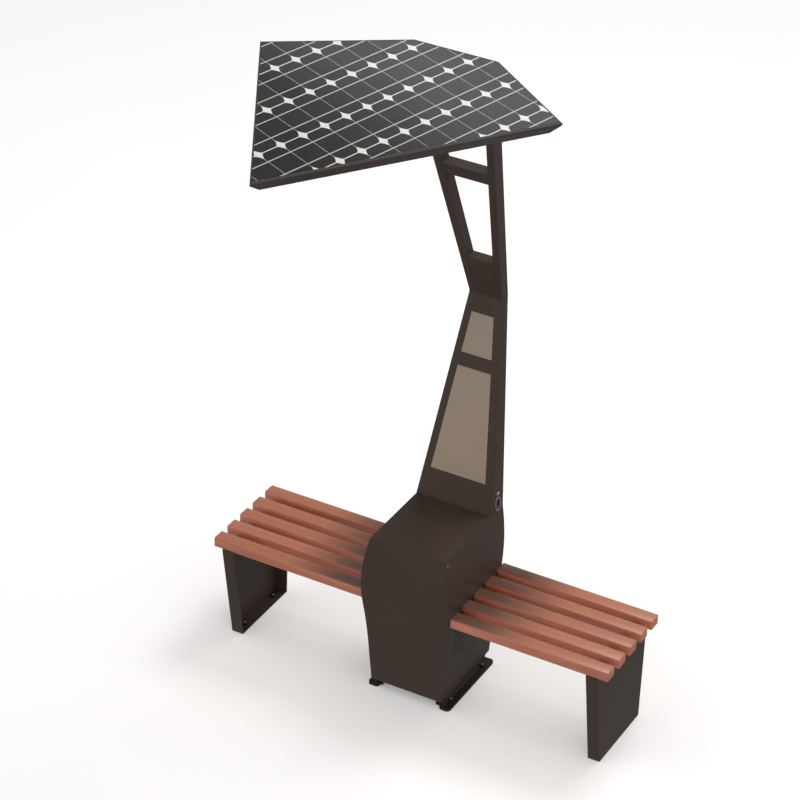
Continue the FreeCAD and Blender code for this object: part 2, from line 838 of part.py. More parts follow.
def build_slats():
    """Ten slats with rounded long edges and a blind bolt hole near each end."""
    hole_x = {"inner": f"({seat_start_x} + bracket_reach / 2)", "outer": "(leg_outer - leg_fold / 2)"}
    end = "(leg_outer + slat_overhang)"
    for side, sign in (("right", ""), ("left", "-")):
        for number in range(5):
            name = f"slat_{side}_{number + 1}"
            x = (seat_start_x, end) if side == "right" else (f"-{end}", f"-{seat_start_x}")
            blank = box(name + "_blank", x, (slat_place(number), f"{slat_place(number)} + slat_wide"),
                        (slat_under, "seat_high"))
            rounded = doc.addObject("Part::Fillet", name + "_rounded")
            rounded.Base = blank
            blank.recompute()
            along = [index for index, edge in enumerate(blank.Shape.Edges, start=1)
                     if abs(edge.tangentAt(edge.FirstParameter).x) > 0.99]
            radius = value("slat_round")
            rounded.Edges = [(index, radius, radius) for index in along]
            holes = [rod(f"{name}_{where}_hole", "Z",
                         (f"{sign}{place}", f"{slat_place(number)} + slat_wide / 2 + slat_bolt_shift",
                          f"{slat_under} - overrun"),
                         "slat_bolt_long - bracket_thick + slat_bolt_spare + overrun",
                         "slat_bolt / 2 + bolt_clear")
                     for where, place in hole_x.items()]
            node(cut(name, rounded, *holes))
    bolts = []
    for side, sign in (("right", ""), ("left", "-")):
        for number in range(5):
            for where, place in hole_x.items():
                under = f"{slat_under} - {'bracket' if where == 'inner' else 'leg'}_thick"
                y = f"{slat_place(number)} + slat_wide / 2 + slat_bolt_shift"
                name = f"slat_bolt_{side}_{number + 1}_{where}"
                shank = rod(name + "_shank", "Z", (f"{sign}{place}", y, under), "slat_bolt_long",
                            "slat_bolt / 2")
                head = rod(name + "_head", "Z", (f"{sign}{place}", y, f"{under} - slat_bolt_head_thick"),
                           "slat_bolt_head_thick", "slat_bolt_head / 2", sides=6)
                bolts.append(fuse(name, shank, head))
    node(group("slat_bolts", *bolts))
    return hole_x


def build_brackets(hole_x):
    """Flange under the slats on each side of the cabinet, with two tabs that stand up between slats."""
    under = f"{slat_under} - bracket_thick"
    flange = box("bracket_flange", (seat_start_x, f"{seat_start_x} + bracket_reach"),
                 ("bracket_front", "bracket_back"), (under, slat_under))
    tab_half = "((slat_pitch - slat_wide) / 2 - bracket_tab_fit)"
    tabs = [box(f"bracket_tab_{number}", (seat_start_x, f"{seat_start_x} + bracket_thick"),
                (f"{gap_middle(number)} - {tab_half}", f"{gap_middle(number)} + {tab_half}"),
                (under, "seat_high - bracket_tab_drop")) for number in tab_gaps]
    holes = [rod(f"bracket_slat_hole_{number}", "Z",
                 (hole_x["inner"], f"{slat_place(number)} + slat_wide / 2 + slat_bolt_shift",
                  f"{under} - overrun"),
                 "bracket_thick + 2 * overrun", "slat_bolt / 2 + bolt_clear") for number in range(5)]
    for number in tab_gaps:
        holes.append(rod(f"bracket_side_hole_{number}", "X",
                         (f"{seat_start_x} - overrun", gap_middle(number), bracket_bolt_high),
                         "bracket_thick + 2 * overrun", "frame_bolt / 2 + bolt_clear"))
    right = node(cut("seat_bracket_right", fuse("bracket_shape", flange, *tabs), *holes))
    node(mirrored("seat_bracket_left", right))


def build_end_legs(hole_x):
    """Folded pan under the outer end of each seat, narrower at its foot, open to the inside."""
    def view(name, inset, x):
        return sweep(name, outline(name + "_view", "YZ", [
            (f"leg_foot_front + ({inset})", inset),
            (f"leg_foot_back - ({inset})", inset),
            (f"leg_top_back - ({inset})", f"{slat_under} - ({inset})"),
            (f"leg_top_front + ({inset})", f"{slat_under} - ({inset})"),
        ]), "YZ", *x)
    outer = view("leg_outer_block", "0", ("leg_outer - leg_fold", "leg_outer"))
    hollow = view("leg_hollow", "leg_thick", ("leg_outer - leg_fold - overrun", "leg_outer - leg_thick"))
    holes = [rod(f"leg_slat_hole_{number}", "Z",
                 (hole_x["outer"], f"{slat_place(number)} + slat_wide / 2 + slat_bolt_shift",
                  f"{slat_under} - leg_thick - overrun"),
                 "leg_thick + 2 * overrun", "slat_bolt / 2 + bolt_clear") for number in range(5)]
    for end in ("front", "back"):
        holes.append(rod(f"leg_anchor_hole_{end}", "Z",
                         ("leg_outer - leg_anchor_inset", f"leg_anchor_{end}", "-overrun"),
                         "leg_thick + 2 * overrun", "anchor_bore / 2"))
    right = node(cut("end_leg_right", outer, hollow, *holes))
    node(mirrored("end_leg_left", right))


# Mast

mast_low = "(waist_high + waist_plate_thick)"
mast_rise = f"(mast_top_high - {mast_low})"


def mast_half_at(high):
    """Half width of the mast over its legs at a height."""
    return f"waist_half + (mast_top_half - waist_half) * ({high} - {mast_low}) / {mast_rise}"


def mast_front_at(high):
    """Place of the mast's front face at a height."""
    return f"tower_front_top + (mast_front_top - tower_front_top) * ({high} - {mast_low}) / {mast_rise}"


def mast_back_at(high):
    """Place of the mast's back face at a height."""
    return f"tower_back_top + (mast_back_top - tower_back_top) * ({high} - {mast_low}) / {mast_rise}"


def mast_view(name, low, high, inset, x):
    """A length of the mast seen from the side, drawn in at the front and the back by an inset."""
    return sweep(name, outline(name + "_view", "YZ", [
        (f"{mast_front_at(low)} + ({inset})", low),
        (f"{mast_back_at(low)} - ({inset})", low),
        (f"{mast_back_at(high)} - ({inset})", high),
        (f"{mast_front_at(high)} + ({inset})", high),
    ]), "YZ", *x)


def mast_strip(name, low, high, out_inset, in_inset):
    """One leg of the mast seen from the front, drawn in from its outer and inner faces."""
    return sweep(name, outline(name + "_view", "XZ", [
        (f"{mast_half_at(low)} - ({out_inset})", low),
        (f"{mast_half_at(high)} - ({out_inset})", high),
        (f"{mast_half_at(high)} - mast_leg_wide + ({in_inset})", high),
        (f"{mast_half_at(low)} - mast_leg_wide + ({in_inset})", low),
    ]), "XZ", far_behind, far)


def mast_between(name, low, high):
    """The space between the two legs, seen from the front."""
    points = []
    for sign, at in (("", low), ("", high), ("-", high), ("-", low)):
        points.append((f"{sign}({mast_half_at(at)} - mast_leg_wide - seam)", at))
    return sweep(name, outline(name + "_view", "XZ", points), "XZ", far_behind, far)


def in_canopy(shape_object, x="0", y="0", z="0"):
    """Place an object in the canopy's tilted plane."""
    turn = FreeCAD.Rotation(Vector(1, 0, 0), -value("canopy_tilt"))
    shape_object.Placement = FreeCAD.Placement(Vector(), turn)
    sine = "sin(canopy_tilt * 1 deg)"
    cosine = "cos(canopy_tilt * 1 deg)"
    bind(shape_object, Placement__Rotation__Angle="-canopy_tilt", Placement__Base__x=x,
         Placement__Base__y=f"({y}) * {cosine} + ({z}) * {sine}",
         Placement__Base__z=f"canopy_high - ({y}) * {sine} + ({z}) * {cosine}")
    return shape_object


def canopy_box(name, x, y, z):
    """A block between two places on each axis of the canopy's tilted plane."""
    block = doc.addObject("Part::Box", name)
    bind(block, Length=f"({x[1]}) - ({x[0]})", Width=f"({y[1]}) - ({y[0]})", Height=f"({z[1]}) - ({z[0]})")
    return in_canopy(block, x[0], y[0], z[0])


def canopy_rod(name, x, y, z, length, radius, sides=0):
    """A round or many-sided bar square to the canopy's plane."""
    bar = doc.addObject("Part::Prism" if sides else "Part::Cylinder", name)
    if sides:
        bar.Polygon = sides
        bind(bar, Circumradius=f"({radius}) / cos(180 deg / {sides})", Height=length)
    else:
        bind(bar, Radius=radius, Height=length)
    return in_canopy(bar, x, y, z)


def build_mast():
    """Waist plate, two hollow legs that spread upwards, a gusset at their foot and a bar between them."""
    node(box("waist_plate", ("-waist_half", "waist_half"),
             ("tower_front_top - waist_plate_lip", "tower_back_top"), ("waist_high", mast_low)))
    over = "mast_top_high + mast_spare"
    leg = cut("mast_leg_hollow",
              common("mast_leg_solid", mast_strip("mast_leg_front", mast_low, over, "0", "0"),
                     mast_view("mast_leg_side", mast_low, over, "0", ("0", far))),
              common("mast_leg_core",
                     mast_strip("mast_leg_core_front", mast_low, over, "mast_wall", "mast_wall"),
                     mast_view("mast_leg_core_side", mast_low, over, "mast_wall", ("0", far))))
    above = canopy_box("above_head", (far_behind, far), (far_behind, far), ("-tray_deep - head_thick", far))
    right = node(cut("mast_leg_right", leg, above))
    node(mirrored("mast_leg_left", right))
    gusset = common("gusset_solid", mast_between("gusset_front", mast_low, "gusset_high"),
                    mast_view("gusset_side", mast_low, "gusset_high", "0", (far_behind, far)))
    core = mast_view("gusset_core", f"{mast_low} - overrun", "gusset_high - gusset_wall", "gusset_wall",
                     (far_behind, far))
    node(cut("mast_gusset", gusset, core))
    bar = common("bar_solid", mast_between("bar_front", "bar_low", "bar_high"),
                 mast_view("bar_side", "bar_low", "bar_high", "0", (far_behind, far)))
    bar_core = mast_view("bar_core", "bar_low + gusset_wall", "bar_high - gusset_wall", "gusset_wall",
                         (far_behind, far))
    node(cut("mast_cross_bar", bar, bar_core))


# Canopy

rib_top = "-laminate_drop - laminate_thick - seam"
rib_foot = "-tray_deep + tray_wall + seam"


def canopy_outline(name, grow, place):
    """The canopy's five-sided outline at a depth below its top, drawn in by a margin."""
    sketch = new_sketch(name, "XY")
    points = [
        ("-canopy_side_half", "canopy_side"),
        ("-canopy_back_half", "canopy_back"),
        ("canopy_back_half", "canopy_back"),
        ("canopy_side_half", "canopy_side"),
        ("0", "canopy_tip"),
    ]
    first, last = draw_chain(sketch, [(*point, "line") for point in points])
    close(sketch, last, first)
    in_canopy(sketch, z=place)
    if grow == "0":
        return sketch
    drawn_in = doc.addObject("Part::Offset2D", name + "_drawn_in")
    drawn_in.Source = sketch
    drawn_in.Join = 2
    return bind(drawn_in, Value=f"-({grow})")


def canopy_slab(name, grow, top, thick, taper=None):
    """A slab under the canopy's outline. A taper draws its lower edge in."""
    slab = doc.addObject("Part::Extrusion", name)
    slab.Base = canopy_outline(name + "_view", grow, top)
    slab.DirMode = "Custom"
    slab.Solid = True
    tilt = math.radians(value("canopy_tilt"))
    slab.Dir = Vector(0, -math.sin(tilt), -math.cos(tilt))
    if taper:
        bind(slab, TaperAngle=f"-{taper}")
    return bind(slab, LengthFwd=thick)


def build_canopy():
    """Tray with a short upright lip and a rim that slants inwards below it, ribs inside, laminate on top."""
    shell = fuse("tray_outer", canopy_slab("tray_lip_outer", "0", "0", "tray_lip"),
                 canopy_slab("tray_rim_outer", "0", "-tray_lip", "tray_deep - tray_lip", "tray_undercut"))
    hollow = fuse("tray_inner",
                  canopy_slab("tray_lip_inner", "tray_wall", "overrun", "tray_lip + overrun"),
                  canopy_slab("tray_rim_inner", "tray_wall", "-tray_lip", "tray_deep - tray_lip - tray_wall",
                              "tray_undercut"))
    bolts = head_bolt_places()
    holes = [canopy_rod(f"tray_bolt_hole_{number}", x, y, "-tray_deep - overrun",
                        "tray_wall + 2 * overrun", "frame_bolt / 2 + bolt_clear")
             for number, (x, y) in enumerate(bolts)]
    node(cut("canopy_tray", cut("tray_shell", shell, hollow), *holes))
    node(canopy_slab("pv_laminate", "tray_wall + laminate_fit", "-laminate_drop", "laminate_thick"))
    ribs = []
    cores = []
    inner_half = "(rib_wide / 2 - rib_wall)"
    for side, sign in (("right", ""), ("left", "-")):
        middle = f"{sign}rib_apart / 2"
        ribs.append(canopy_box(f"rib_{side}", (f"{middle} - rib_wide / 2", f"{middle} + rib_wide / 2"),
                               ("rib_front", "rib_back"), (rib_foot, rib_top)))
        cores.append(canopy_box(f"rib_{side}_core", (f"{middle} - {inner_half}", f"{middle} + {inner_half}"),
                                ("rib_front + rib_wall", "rib_back - rib_wall"),
                                (f"{rib_foot} - overrun", f"{rib_top} - rib_wall")))
    for end in ("back", "front"):
        half = f"cross_rib_{end}_half"
        middle = f"cross_rib_{end}"
        ribs.append(canopy_box(f"cross_{end}", (f"-{half}", half),
                               (f"{middle} - rib_wide / 2", f"{middle} + rib_wide / 2"), (rib_foot, rib_top)))
        cores.append(canopy_box(f"cross_{end}_core", (f"-{half} + rib_wall", f"{half} - rib_wall"),
                                (f"{middle} - {inner_half}", f"{middle} + {inner_half}"),
                                (f"{rib_foot} - overrun", f"{rib_top} - rib_wall")))
    node(cut("canopy_ribs", fuse("rib_shapes", *ribs), *cores))
    across_box = ("junction_box_place - junction_box_wide / 2", "junction_box_place + junction_box_wide / 2")
    node(canopy_box("junction_box", ("-junction_box_long / 2", "junction_box_long / 2"), across_box,
                    (f"{rib_top} - junction_box_tall", rib_top)))


def head_bolt_places():
    """Bolts that hold the canopy on the head plate, under the two long ribs."""
    return [(f"{sign}rib_apart / 2", y) for sign in ("", "-") for y in ("head_bolt_front", "head_bolt_back")]


def build_head():
    """Head plate on top of the mast, and all the hexagon bolts of one size with their nuts."""
    plate = canopy_box("head_blank", ("-head_half", "head_half"), ("head_front", "head_back"),
                       ("-tray_deep - head_thick", "-tray_deep"))
    holes = [canopy_rod(f"head_bolt_hole_{number}", x, y, "-tray_deep - head_thick - overrun",
                        "head_thick + 2 * overrun", "frame_bolt / 2 + bolt_clear")
             for number, (x, y) in enumerate(head_bolt_places())]
    node(cut("mast_head_plate", plate, *holes))
    bolts = []
    head_low = "-tray_deep - head_thick"
    grip = "(head_thick + tray_wall)"
    for number, (x, y) in enumerate(head_bolt_places()):
        name = f"head_bolt_{number}"
        shank = canopy_rod(name + "_shank", x, y, head_low, f"{grip} + frame_bolt_head_thick + bolt_end",
                           "frame_bolt / 2")
        head = canopy_rod(name + "_head", x, y, f"{head_low} - frame_bolt_head_thick",
                          "frame_bolt_head_thick", "frame_bolt_head / 2", sides=6)
        nut = canopy_rod(name + "_nut", x, y, f"{head_low} + {grip}", "frame_bolt_head_thick",
                         "frame_bolt_head / 2", sides=6)
        bolts.append(fuse(name, shank, head, nut))
    outside = f"({seat_start_x} + bracket_thick)"
    nut_face = f"({seat_start_x} - bracket_gap - side_thick - nut_clear)"
    for side, sign in (("right", ""), ("left", "-")):
        for number in tab_gaps:
            name = f"bracket_bolt_{side}_{number}"
            y = gap_middle(number)
            low = f"({nut_face} - frame_bolt_head_thick - bolt_end)"
            start = low if side == "right" else f"-{outside}"
            head = outside if side == "right" else f"-{outside} - frame_bolt_head_thick"
            nut = f"({nut_face} - frame_bolt_head_thick)" if side == "right" else f"-{nut_face}"
            bolts.append(fuse(name,
                              rod(name + "_shank", "X", (start, y, bracket_bolt_high), f"{outside} - {low}",
                                  "frame_bolt / 2"),
                              rod(name + "_head", "X", (head, y, bracket_bolt_high), "frame_bolt_head_thick",
                                  "frame_bolt_head / 2", sides=6),
                              rod(name + "_nut", "X", (nut, y, bracket_bolt_high), "frame_bolt_head_thick",
                                  "frame_bolt_head / 2", sides=6)))
    node(group("frame_bolts", *bolts))


# Charging ports

def build_ports():
    """On each side: a pill-shaped bezel through the side plate, a socket block behind it, a lens above it."""
    proud = ribbon("port_proud_view", "XZ",
                   [(f"{x} - side_thick - port_throat", high, kind) for x, high, kind in side_line],
                   "side_thick + port_throat + port_proud")
    collar = ribbon("port_collar_view", "XZ", [(f"{x} + seam", high, kind) for x, high, kind in side_line],
                    "port_proud")
    flange = common("port_flange", sweep("port_collar", collar, "XZ", far_behind, far),
                    pill("port_flange_pill", "port_place", "port_high", "port_wide", "port_tall", ("0", far)))
    throat = common("port_throat_block", sweep("port_proud_block", proud, "XZ", far_behind, far),
                    pill("port_throat_pill", "port_place", "port_high",
                         "port_wide - 2 * port_rim - 2 * port_fit", "port_tall - 2 * port_rim - 2 * port_fit",
                         ("0", far)))
    bore = pill("port_bore", "port_place", "port_high", "port_wide - 2 * port_rim - 2 * port_bore_rim",
                "port_tall - 2 * port_rim - 2 * port_bore_rim", ("0", far))
    right = cut("port_bezel_right", fuse("port_bezel_shape", flange, throat), bore)
    node(group("port_bezels", right, mirrored("port_bezel_left", right)))
    socket_back = "side_thick + port_throat + seam + port_deep"
    behind = ribbon("socket_view", "XZ",
                    [(f"{x} - ({socket_back})", high, kind) for x, high, kind in side_line], "port_deep")
    block = common("socket_block", sweep("socket_sweep", behind, "XZ", far_behind, far),
                   box("socket_size", ("0", far),
                       ("port_place - port_wide / 2", "port_place + port_wide / 2 - socket_back_gap"),
                       ("port_high - port_tall / 2", "port_high + port_tall / 2 - socket_top_gap")))
    slots = [box(f"usb_slot_{place}",
                 (f"{tower_half_at('port_high')} - side_thick - port_throat - usb_slot_deep", far),
                 ("port_place - usb_wide / 2", "port_place + usb_wide / 2"),
                 (f"port_high {sign} usb_apart / 2 - usb_tall / 2",
                  f"port_high {sign} usb_apart / 2 + usb_tall / 2"))
             for place, sign in (("low", "-"), ("top", "+"))]
    socket = cut("usb_socket_right", block, *slots)
    node(group("usb_sockets", socket, mirrored("usb_socket_left", socket)))
    deep = ribbon("lens_view", "XZ", [(f"{x} - lens_deep", high, kind) for x, high, kind in side_line],
                  "lens_deep + port_proud / 2")
    lens = common("port_lens_right", sweep("lens_sweep", deep, "XZ", far_behind, far),
                  lens_block("lens_size", "0", ("0", far)))
    node(group("port_lenses", lens, mirrored("port_lens_left", lens)))


# Equipment

def build_battery():
    """Battery with two terminals, in a lipped tray, under a flat strap."""
    floor_top = "(cabinet_low + sheet_thick)"
    seat = f"({floor_top} + tray_sheet)"
    case = box("battery_case", ("-battery_wide / 2", "battery_wide / 2"),
               ("battery_front", "battery_front + battery_long"), (seat, f"{seat} + battery_tall"))
    rounded = doc.addObject("Part::Fillet", "battery_rounded")
    rounded.Base = case
    doc.recompute()
    upright = [index for index, edge in enumerate(case.Shape.Edges, start=1)
               if abs(edge.tangentAt(edge.FirstParameter).z) > 0.99]
    radius = value("battery_round")
    rounded.Edges = [(index, radius, radius) for index in upright]
    post_y = "battery_front + battery_long - terminal_inset"
    posts = [rod(f"battery_post_{side}", "Z",
                 (f"{sign}terminal_apart / 2", post_y, f"{seat} + battery_tall - overrun"),
                 "terminal_tall + overrun", "terminal_round / 2")
             for side, sign in (("right", ""), ("left", "-"))]
    node(fuse("battery", rounded, *posts))
    out = "(battery_wide / 2 + tray_fit + tray_sheet)"
    margin = "(tray_fit + tray_sheet)"
    pan = box("battery_pan", (f"-{out}", out),
              (f"battery_front - {margin}", f"battery_front + battery_long + {margin}"),
              (floor_top, f"{floor_top} + tray_lip_tall"))
    well = box("battery_well", (f"-{out} + tray_sheet", f"{out} - tray_sheet"),
               ("battery_front - tray_fit", "battery_front + battery_long + tray_fit"),
               (seat, f"{floor_top} + tray_lip_tall + overrun"))
    node(cut("battery_tray", pan, well))
    strap_y = ("battery_front + (battery_long - strap_wide) / 2",
               "battery_front + (battery_long + strap_wide) / 2")
    band = box("strap_outer", (f"-{out} - seam - strap_thick", f"{out} + seam + strap_thick"), strap_y,
               (floor_top, f"{seat} + battery_tall + seam + strap_thick"))
    inside = box("strap_inner", (f"-{out} - seam", f"{out} + seam"),
                 ("battery_front", "battery_front + battery_long"),
                 (f"{floor_top} - overrun", f"{seat} + battery_tall + seam"))
    node(cut("battery_strap", band, inside))


def finned(name, x, y, z):
    """A block whose front is cut into upright cooling fins."""
    block = box(name + "_block", x, y, z)
    pitch = f"((({x[1]}) - ({x[0]})) / fin_count)"
    grooves = [box(f"{name}_groove_{number}",
                   (f"({x[0]}) + ({number} + fin_share) * {pitch}", f"({x[0]}) + ({number} + 1) * {pitch}"),
                   (f"({y[1]}) - fin_deep", f"({y[1]}) + overrun"),
                   (f"({z[0]}) - overrun", f"({z[1]}) + overrun"))
               for number in range(int(value("fin_count")) - 1)]
    return cut(name, block, *grooves)


def build_equipment():
    """Plate across the cabinet that carries the charge controller, converter, fuses and isolator."""
    node(across("equipment_plate", inner_block, [
        ("plate_place", "plate_low"),
        ("plate_place + sheet_thick", "plate_low"),
        ("plate_place + sheet_thick", "plate_high"),
        ("plate_place", "plate_high"),
    ]))
    face = "(plate_place + sheet_thick)"
    node(finned("charge_controller", ("-controller_wide / 2", "controller_wide / 2"),
                (face, f"{face} + controller_deep"), ("controller_low", "controller_low + controller_tall")))
    node(finned("usb_converter", ("-converter_wide / 2", "converter_wide / 2"),
                (face, f"{face} + converter_deep"), ("converter_low", "converter_low + converter_tall")))
    base = box("fuse_base", ("fuse_place - fuse_wide / 2", "fuse_place + fuse_wide / 2"),
               (face, f"{face} + fuse_base_deep"), ("fuse_low", "fuse_low + fuse_tall"))
    holders = []
    for number in range(4):
        middle = f"fuse_low + fuse_tall * (2 * {number} + 1) / 8"
        holders.append(box(f"fuse_{number}",
                           ("fuse_place - fuse_holder_wide / 2", "fuse_place + fuse_holder_wide / 2"),
                           (f"{face} + fuse_base_deep - overrun", f"{face} + fuse_deep"),
                           (f"{middle} - fuse_holder_tall / 2", f"{middle} + fuse_holder_tall / 2")))
    node(fuse("fuse_block", base, *holders))
    half = "isolator_size / 2"
    middle = ("isolator_place", f"isolator_low + {half}")
    body = box("isolator_case", (f"{middle[0]} - {half}", f"{middle[0]} + {half}"),
               (face, f"{face} + isolator_deep"), ("isolator_low", "isolator_low + isolator_size"))
    socket = rod("isolator_socket", "Y", (middle[0], f"{face} + isolator_deep - knob_stem", middle[1]),
                 "knob_stem + overrun", "knob_stem / 2 + knob_fit")
    node(cut("isolator_body", body, socket))
    knob_face = f"({face} + isolator_deep + seam)"
    disc = rod("knob_disc", "Y", (middle[0], knob_face, middle[1]), "knob_deep / 2", "knob_round / 2")
    grip = box("knob_grip", (f"{middle[0]} - knob_grip_long / 2", f"{middle[0]} + knob_grip_long / 2"),
               (f"{knob_face} + knob_deep / 2 - overrun", f"{knob_face} + knob_deep"),
               (f"{middle[1]} - knob_grip_wide / 2", f"{middle[1]} + knob_grip_wide / 2"))
    stem = rod("knob_stem_rod", "Y", (middle[0], f"{face} + isolator_deep - knob_stem + seam", middle[1]),
               "knob_stem + overrun", "knob_stem / 2")
    node(fuse("isolator_knob", disc, grip, stem))


corner_share = 0.45  # of the shorter straight run, taken up by the arc at a cable's corner


def rounded_tube(name, corners, diameter):
    """A round tube along straight runs, with an arc at each corner."""
    edges = []
    last = corners[0]
    for before, corner, after in zip(corners, corners[1:], corners[2:]):
        back = before - corner
        on = after - corner
        half_turn = (math.pi - back.getAngle(on)) / 2
        trim = corner_share * min(back.Length, on.Length)
        print(f"{name}: arc radius {trim / math.tan(half_turn):.1f}")
        start = corner + back.normalize() * trim
        end = corner + on.normalize() * trim
        chord_middle = (start + end) * 0.5
        to_corner = corner - chord_middle
        sagitta = (start - end).Length / 2 * math.tan(half_turn / 2)
        edges.append(Part.LineSegment(last, start).toShape())
        edges.append(Part.Arc(start, chord_middle + to_corner.normalize() * sagitta, end).toShape())
        last = end
    edges.append(Part.LineSegment(last, corners[-1]).toShape())
    path = Part.Wire(edges)
    ring = Part.Wire(Part.makeCircle(diameter / 2, corners[0], corners[1] - corners[0]))
    tube = doc.addObject("Part::Feature", name)
    tube.Shape = path.makePipeShell([ring], True, False)
    expected = path.Length * math.pi * diameter ** 2 / 4
    print(f"{name}: volume {tube.Shape.Volume:.0f}, section times length {expected:.0f}")
    return tube


def build_battery_cables():
    """Two stiff leads from the battery's posts up to the isolator and to the fuse block."""
    post_top = value("cabinet_low + sheet_thick + tray_sheet + battery_tall + terminal_tall")
    post_y = value("battery_front + battery_long - terminal_inset")
    face = value("plate_place + sheet_thick")
    ends = {
        "red": Vector(value("isolator_place"), face + value("isolator_deep / 2"), value("isolator_low")),
        "black": Vector(value("fuse_place"), face + value("fuse_base_deep / 2"), value("fuse_low")),
    }
    tubes = []
    for (colour, end), sign in zip(ends.items(), (-1, 1)):
        start = Vector(sign * value("terminal_apart / 2"), post_y, post_top)
        above = start + Vector(0, 0, value("cable_rise"))
        below = end - Vector(0, 0, value("cable_drop"))
        corners = [start, above, below, end]
        tubes.append(rounded_tube("battery_cable_" + colour, corners, value("cable_round")))
    node(group("battery_cables", *tubes))


build_runner()
build_plinth()
build_floor()
build_sides()
build_front()
build_light_panels()
build_back()
build_door()
build_hinges()
build_lock()
slat_holes = build_slats()
build_brackets(slat_holes)
build_end_legs(slat_holes)
build_mast()
build_canopy()
build_head()
build_ports()
build_battery()
build_equipment()
build_battery_cables()
doc.recompute()

faults = [f"{thing.Label}: {thing.State}" for thing in doc.Objects
          if "Invalid" in thing.State or "Error" in thing.State]
for thing in nodes:
    if thing.Shape.isNull() or not thing.Shape.isValid() or not thing.Shape.Solids:
        faults.append(f"{thing.Label}: no valid solid")
if faults:
    print("\n".join(faults))
    sys.exit(1)

os.makedirs("parts", exist_ok=True)
for thing in nodes:
    thing.Shape.exportStep(f"parts/{thing.Label}.step")
    print(f"{thing.Label}: {len(thing.Shape.Solids)} solid(s), {thing.Shape.Volume / 1000:.1f} cm3")
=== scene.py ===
import math

import bmesh
import bpy
import numpy as np
from mathutils import Matrix, Vector


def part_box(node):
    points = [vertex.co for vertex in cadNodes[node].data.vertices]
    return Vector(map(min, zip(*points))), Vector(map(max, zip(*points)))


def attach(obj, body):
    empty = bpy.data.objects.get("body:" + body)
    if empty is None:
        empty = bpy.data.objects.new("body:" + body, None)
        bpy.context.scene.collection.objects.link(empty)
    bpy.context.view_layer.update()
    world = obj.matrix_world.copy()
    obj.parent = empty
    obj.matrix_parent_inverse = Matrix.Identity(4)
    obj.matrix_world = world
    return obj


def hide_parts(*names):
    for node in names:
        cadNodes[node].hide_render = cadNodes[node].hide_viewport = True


# Solar charging bench: the finish of every piece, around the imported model.
# Frame: X along the seats, Y from the front to the back, Z up. Sizes are metres unless a name ends in Mm.
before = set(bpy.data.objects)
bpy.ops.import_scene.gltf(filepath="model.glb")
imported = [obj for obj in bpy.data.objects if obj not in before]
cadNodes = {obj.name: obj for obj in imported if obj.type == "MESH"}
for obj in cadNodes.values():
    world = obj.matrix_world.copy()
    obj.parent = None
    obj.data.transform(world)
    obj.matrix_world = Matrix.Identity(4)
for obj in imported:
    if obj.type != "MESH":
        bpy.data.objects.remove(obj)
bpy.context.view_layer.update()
mm = 0.001
oneSpot = 0.001 * mm   # corners closer together than this are one corner
print("frame loaded:", len(cadNodes), "nodes")


# Colours and shader nodes

def toLinear(hexColour):
    # sRGB to linear: a straight part near black, and a power of 2.4 above it
    channels = np.array([int(hexColour[i:i + 2], 16) for i in (1, 3, 5)]) / 255
    lit = np.where(channels <= 0.04045, channels / 12.92, ((channels + 0.055) / 1.055) ** 2.4)
    return (*lit.tolist(), 1.0)


def addNode(tree, kind, sockets=None, **settings):
    # settings are the node's own properties, and sockets takes numbers or another node's output
    made = tree.nodes.new("ShaderNode" + kind)
    for name, item in settings.items():
        setattr(made, name, item)
    for name, item in (sockets or {}).items():
        if isinstance(item, bpy.types.NodeSocket):
            tree.links.new(item, made.inputs[name])
        else:
            made.inputs[name].default_value = item
    return made


def newMaterial(name):
    material = bpy.data.materials.new(name)
    material.use_nodes = True
    material.node_tree.nodes.clear()
    return material, material.node_tree


def finishShader(tree, sockets):
    shader = addNode(tree, "BsdfPrincipled", sockets)
    addNode(tree, "OutputMaterial", {"Surface": shader.outputs["BSDF"]})


def combine(tree, operation, *terms):
    # arithmetic on numbers and on other nodes' outputs
    return addNode(tree, "Math", dict(enumerate(terms)), operation=operation).outputs[0]


def noise(tree, place, perMetre, detail, twist=0.0):
    # soft random clouds, from 0 to 1
    return addNode(tree, "TexNoise", {"Vector": place, "Scale": perMetre, "Detail": detail,
                                      "Distortion": twist}).outputs["Fac"]


def spread(tree, factor, low, high, start=0.0, end=1.0, **settings):
    # a number that goes from low to high while the factor goes from start to end
    return addNode(tree, "MapRange", {"Value": factor, "From Min": start, "From Max": end,
                                      "To Min": low, "To Max": high}, **settings).outputs["Result"]


def twoTone(tree, factor, low, high):
    # a colour between two hex values
    ramp = addNode(tree, "ValToRGB", {"Fac": factor})
    ramp.color_ramp.elements[0].color = toLinear(low)
    ramp.color_ramp.elements[1].color = toLinear(high)
    return ramp.outputs["Color"]


def brightened(tree, colour, gain):
    return addNode(tree, "HueSaturation", {"Color": colour, "Value": gain}).outputs["Color"]


def relief(tree, height, strength, deepMm):
    # a pattern as small hills, for the light only
    bump = addNode(tree, "Bump", {"Height": height, "Strength": strength, "Distance": deepMm * mm})
    return bump.outputs["Normal"]


def finishMaterial(look):
    # One coated or moulded surface: broad patches of tone, and a fine grit in its gloss and its relief
    material, tree = newMaterial(look["name"])
    place = addNode(tree, "TexCoord").outputs["Object"]
    patches = noise(tree, place, 1000 / look["patchMm"], 3.0)
    grit = noise(tree, place, 1000 / look["gritMm"], 2.0)
    finishShader(tree, {
        "Base Color": twoTone(tree, patches, look["dark"], look["light"]),
        "Roughness": spread(tree, combine(tree, "MULTIPLY", patches, grit), *look["roughness"]),
        "Metallic": look.get("metallic", 0.0), "IOR": look.get("ior", 1.5),
        "Specular IOR Level": look.get("gloss", 0.5), "Coat Weight": look.get("coat", 0.0),
        "Coat Roughness": look.get("coatRough", 0.1),
        "Normal": relief(tree, grit, look.get("relief", 0.5), look["deepMm"])})
    return material


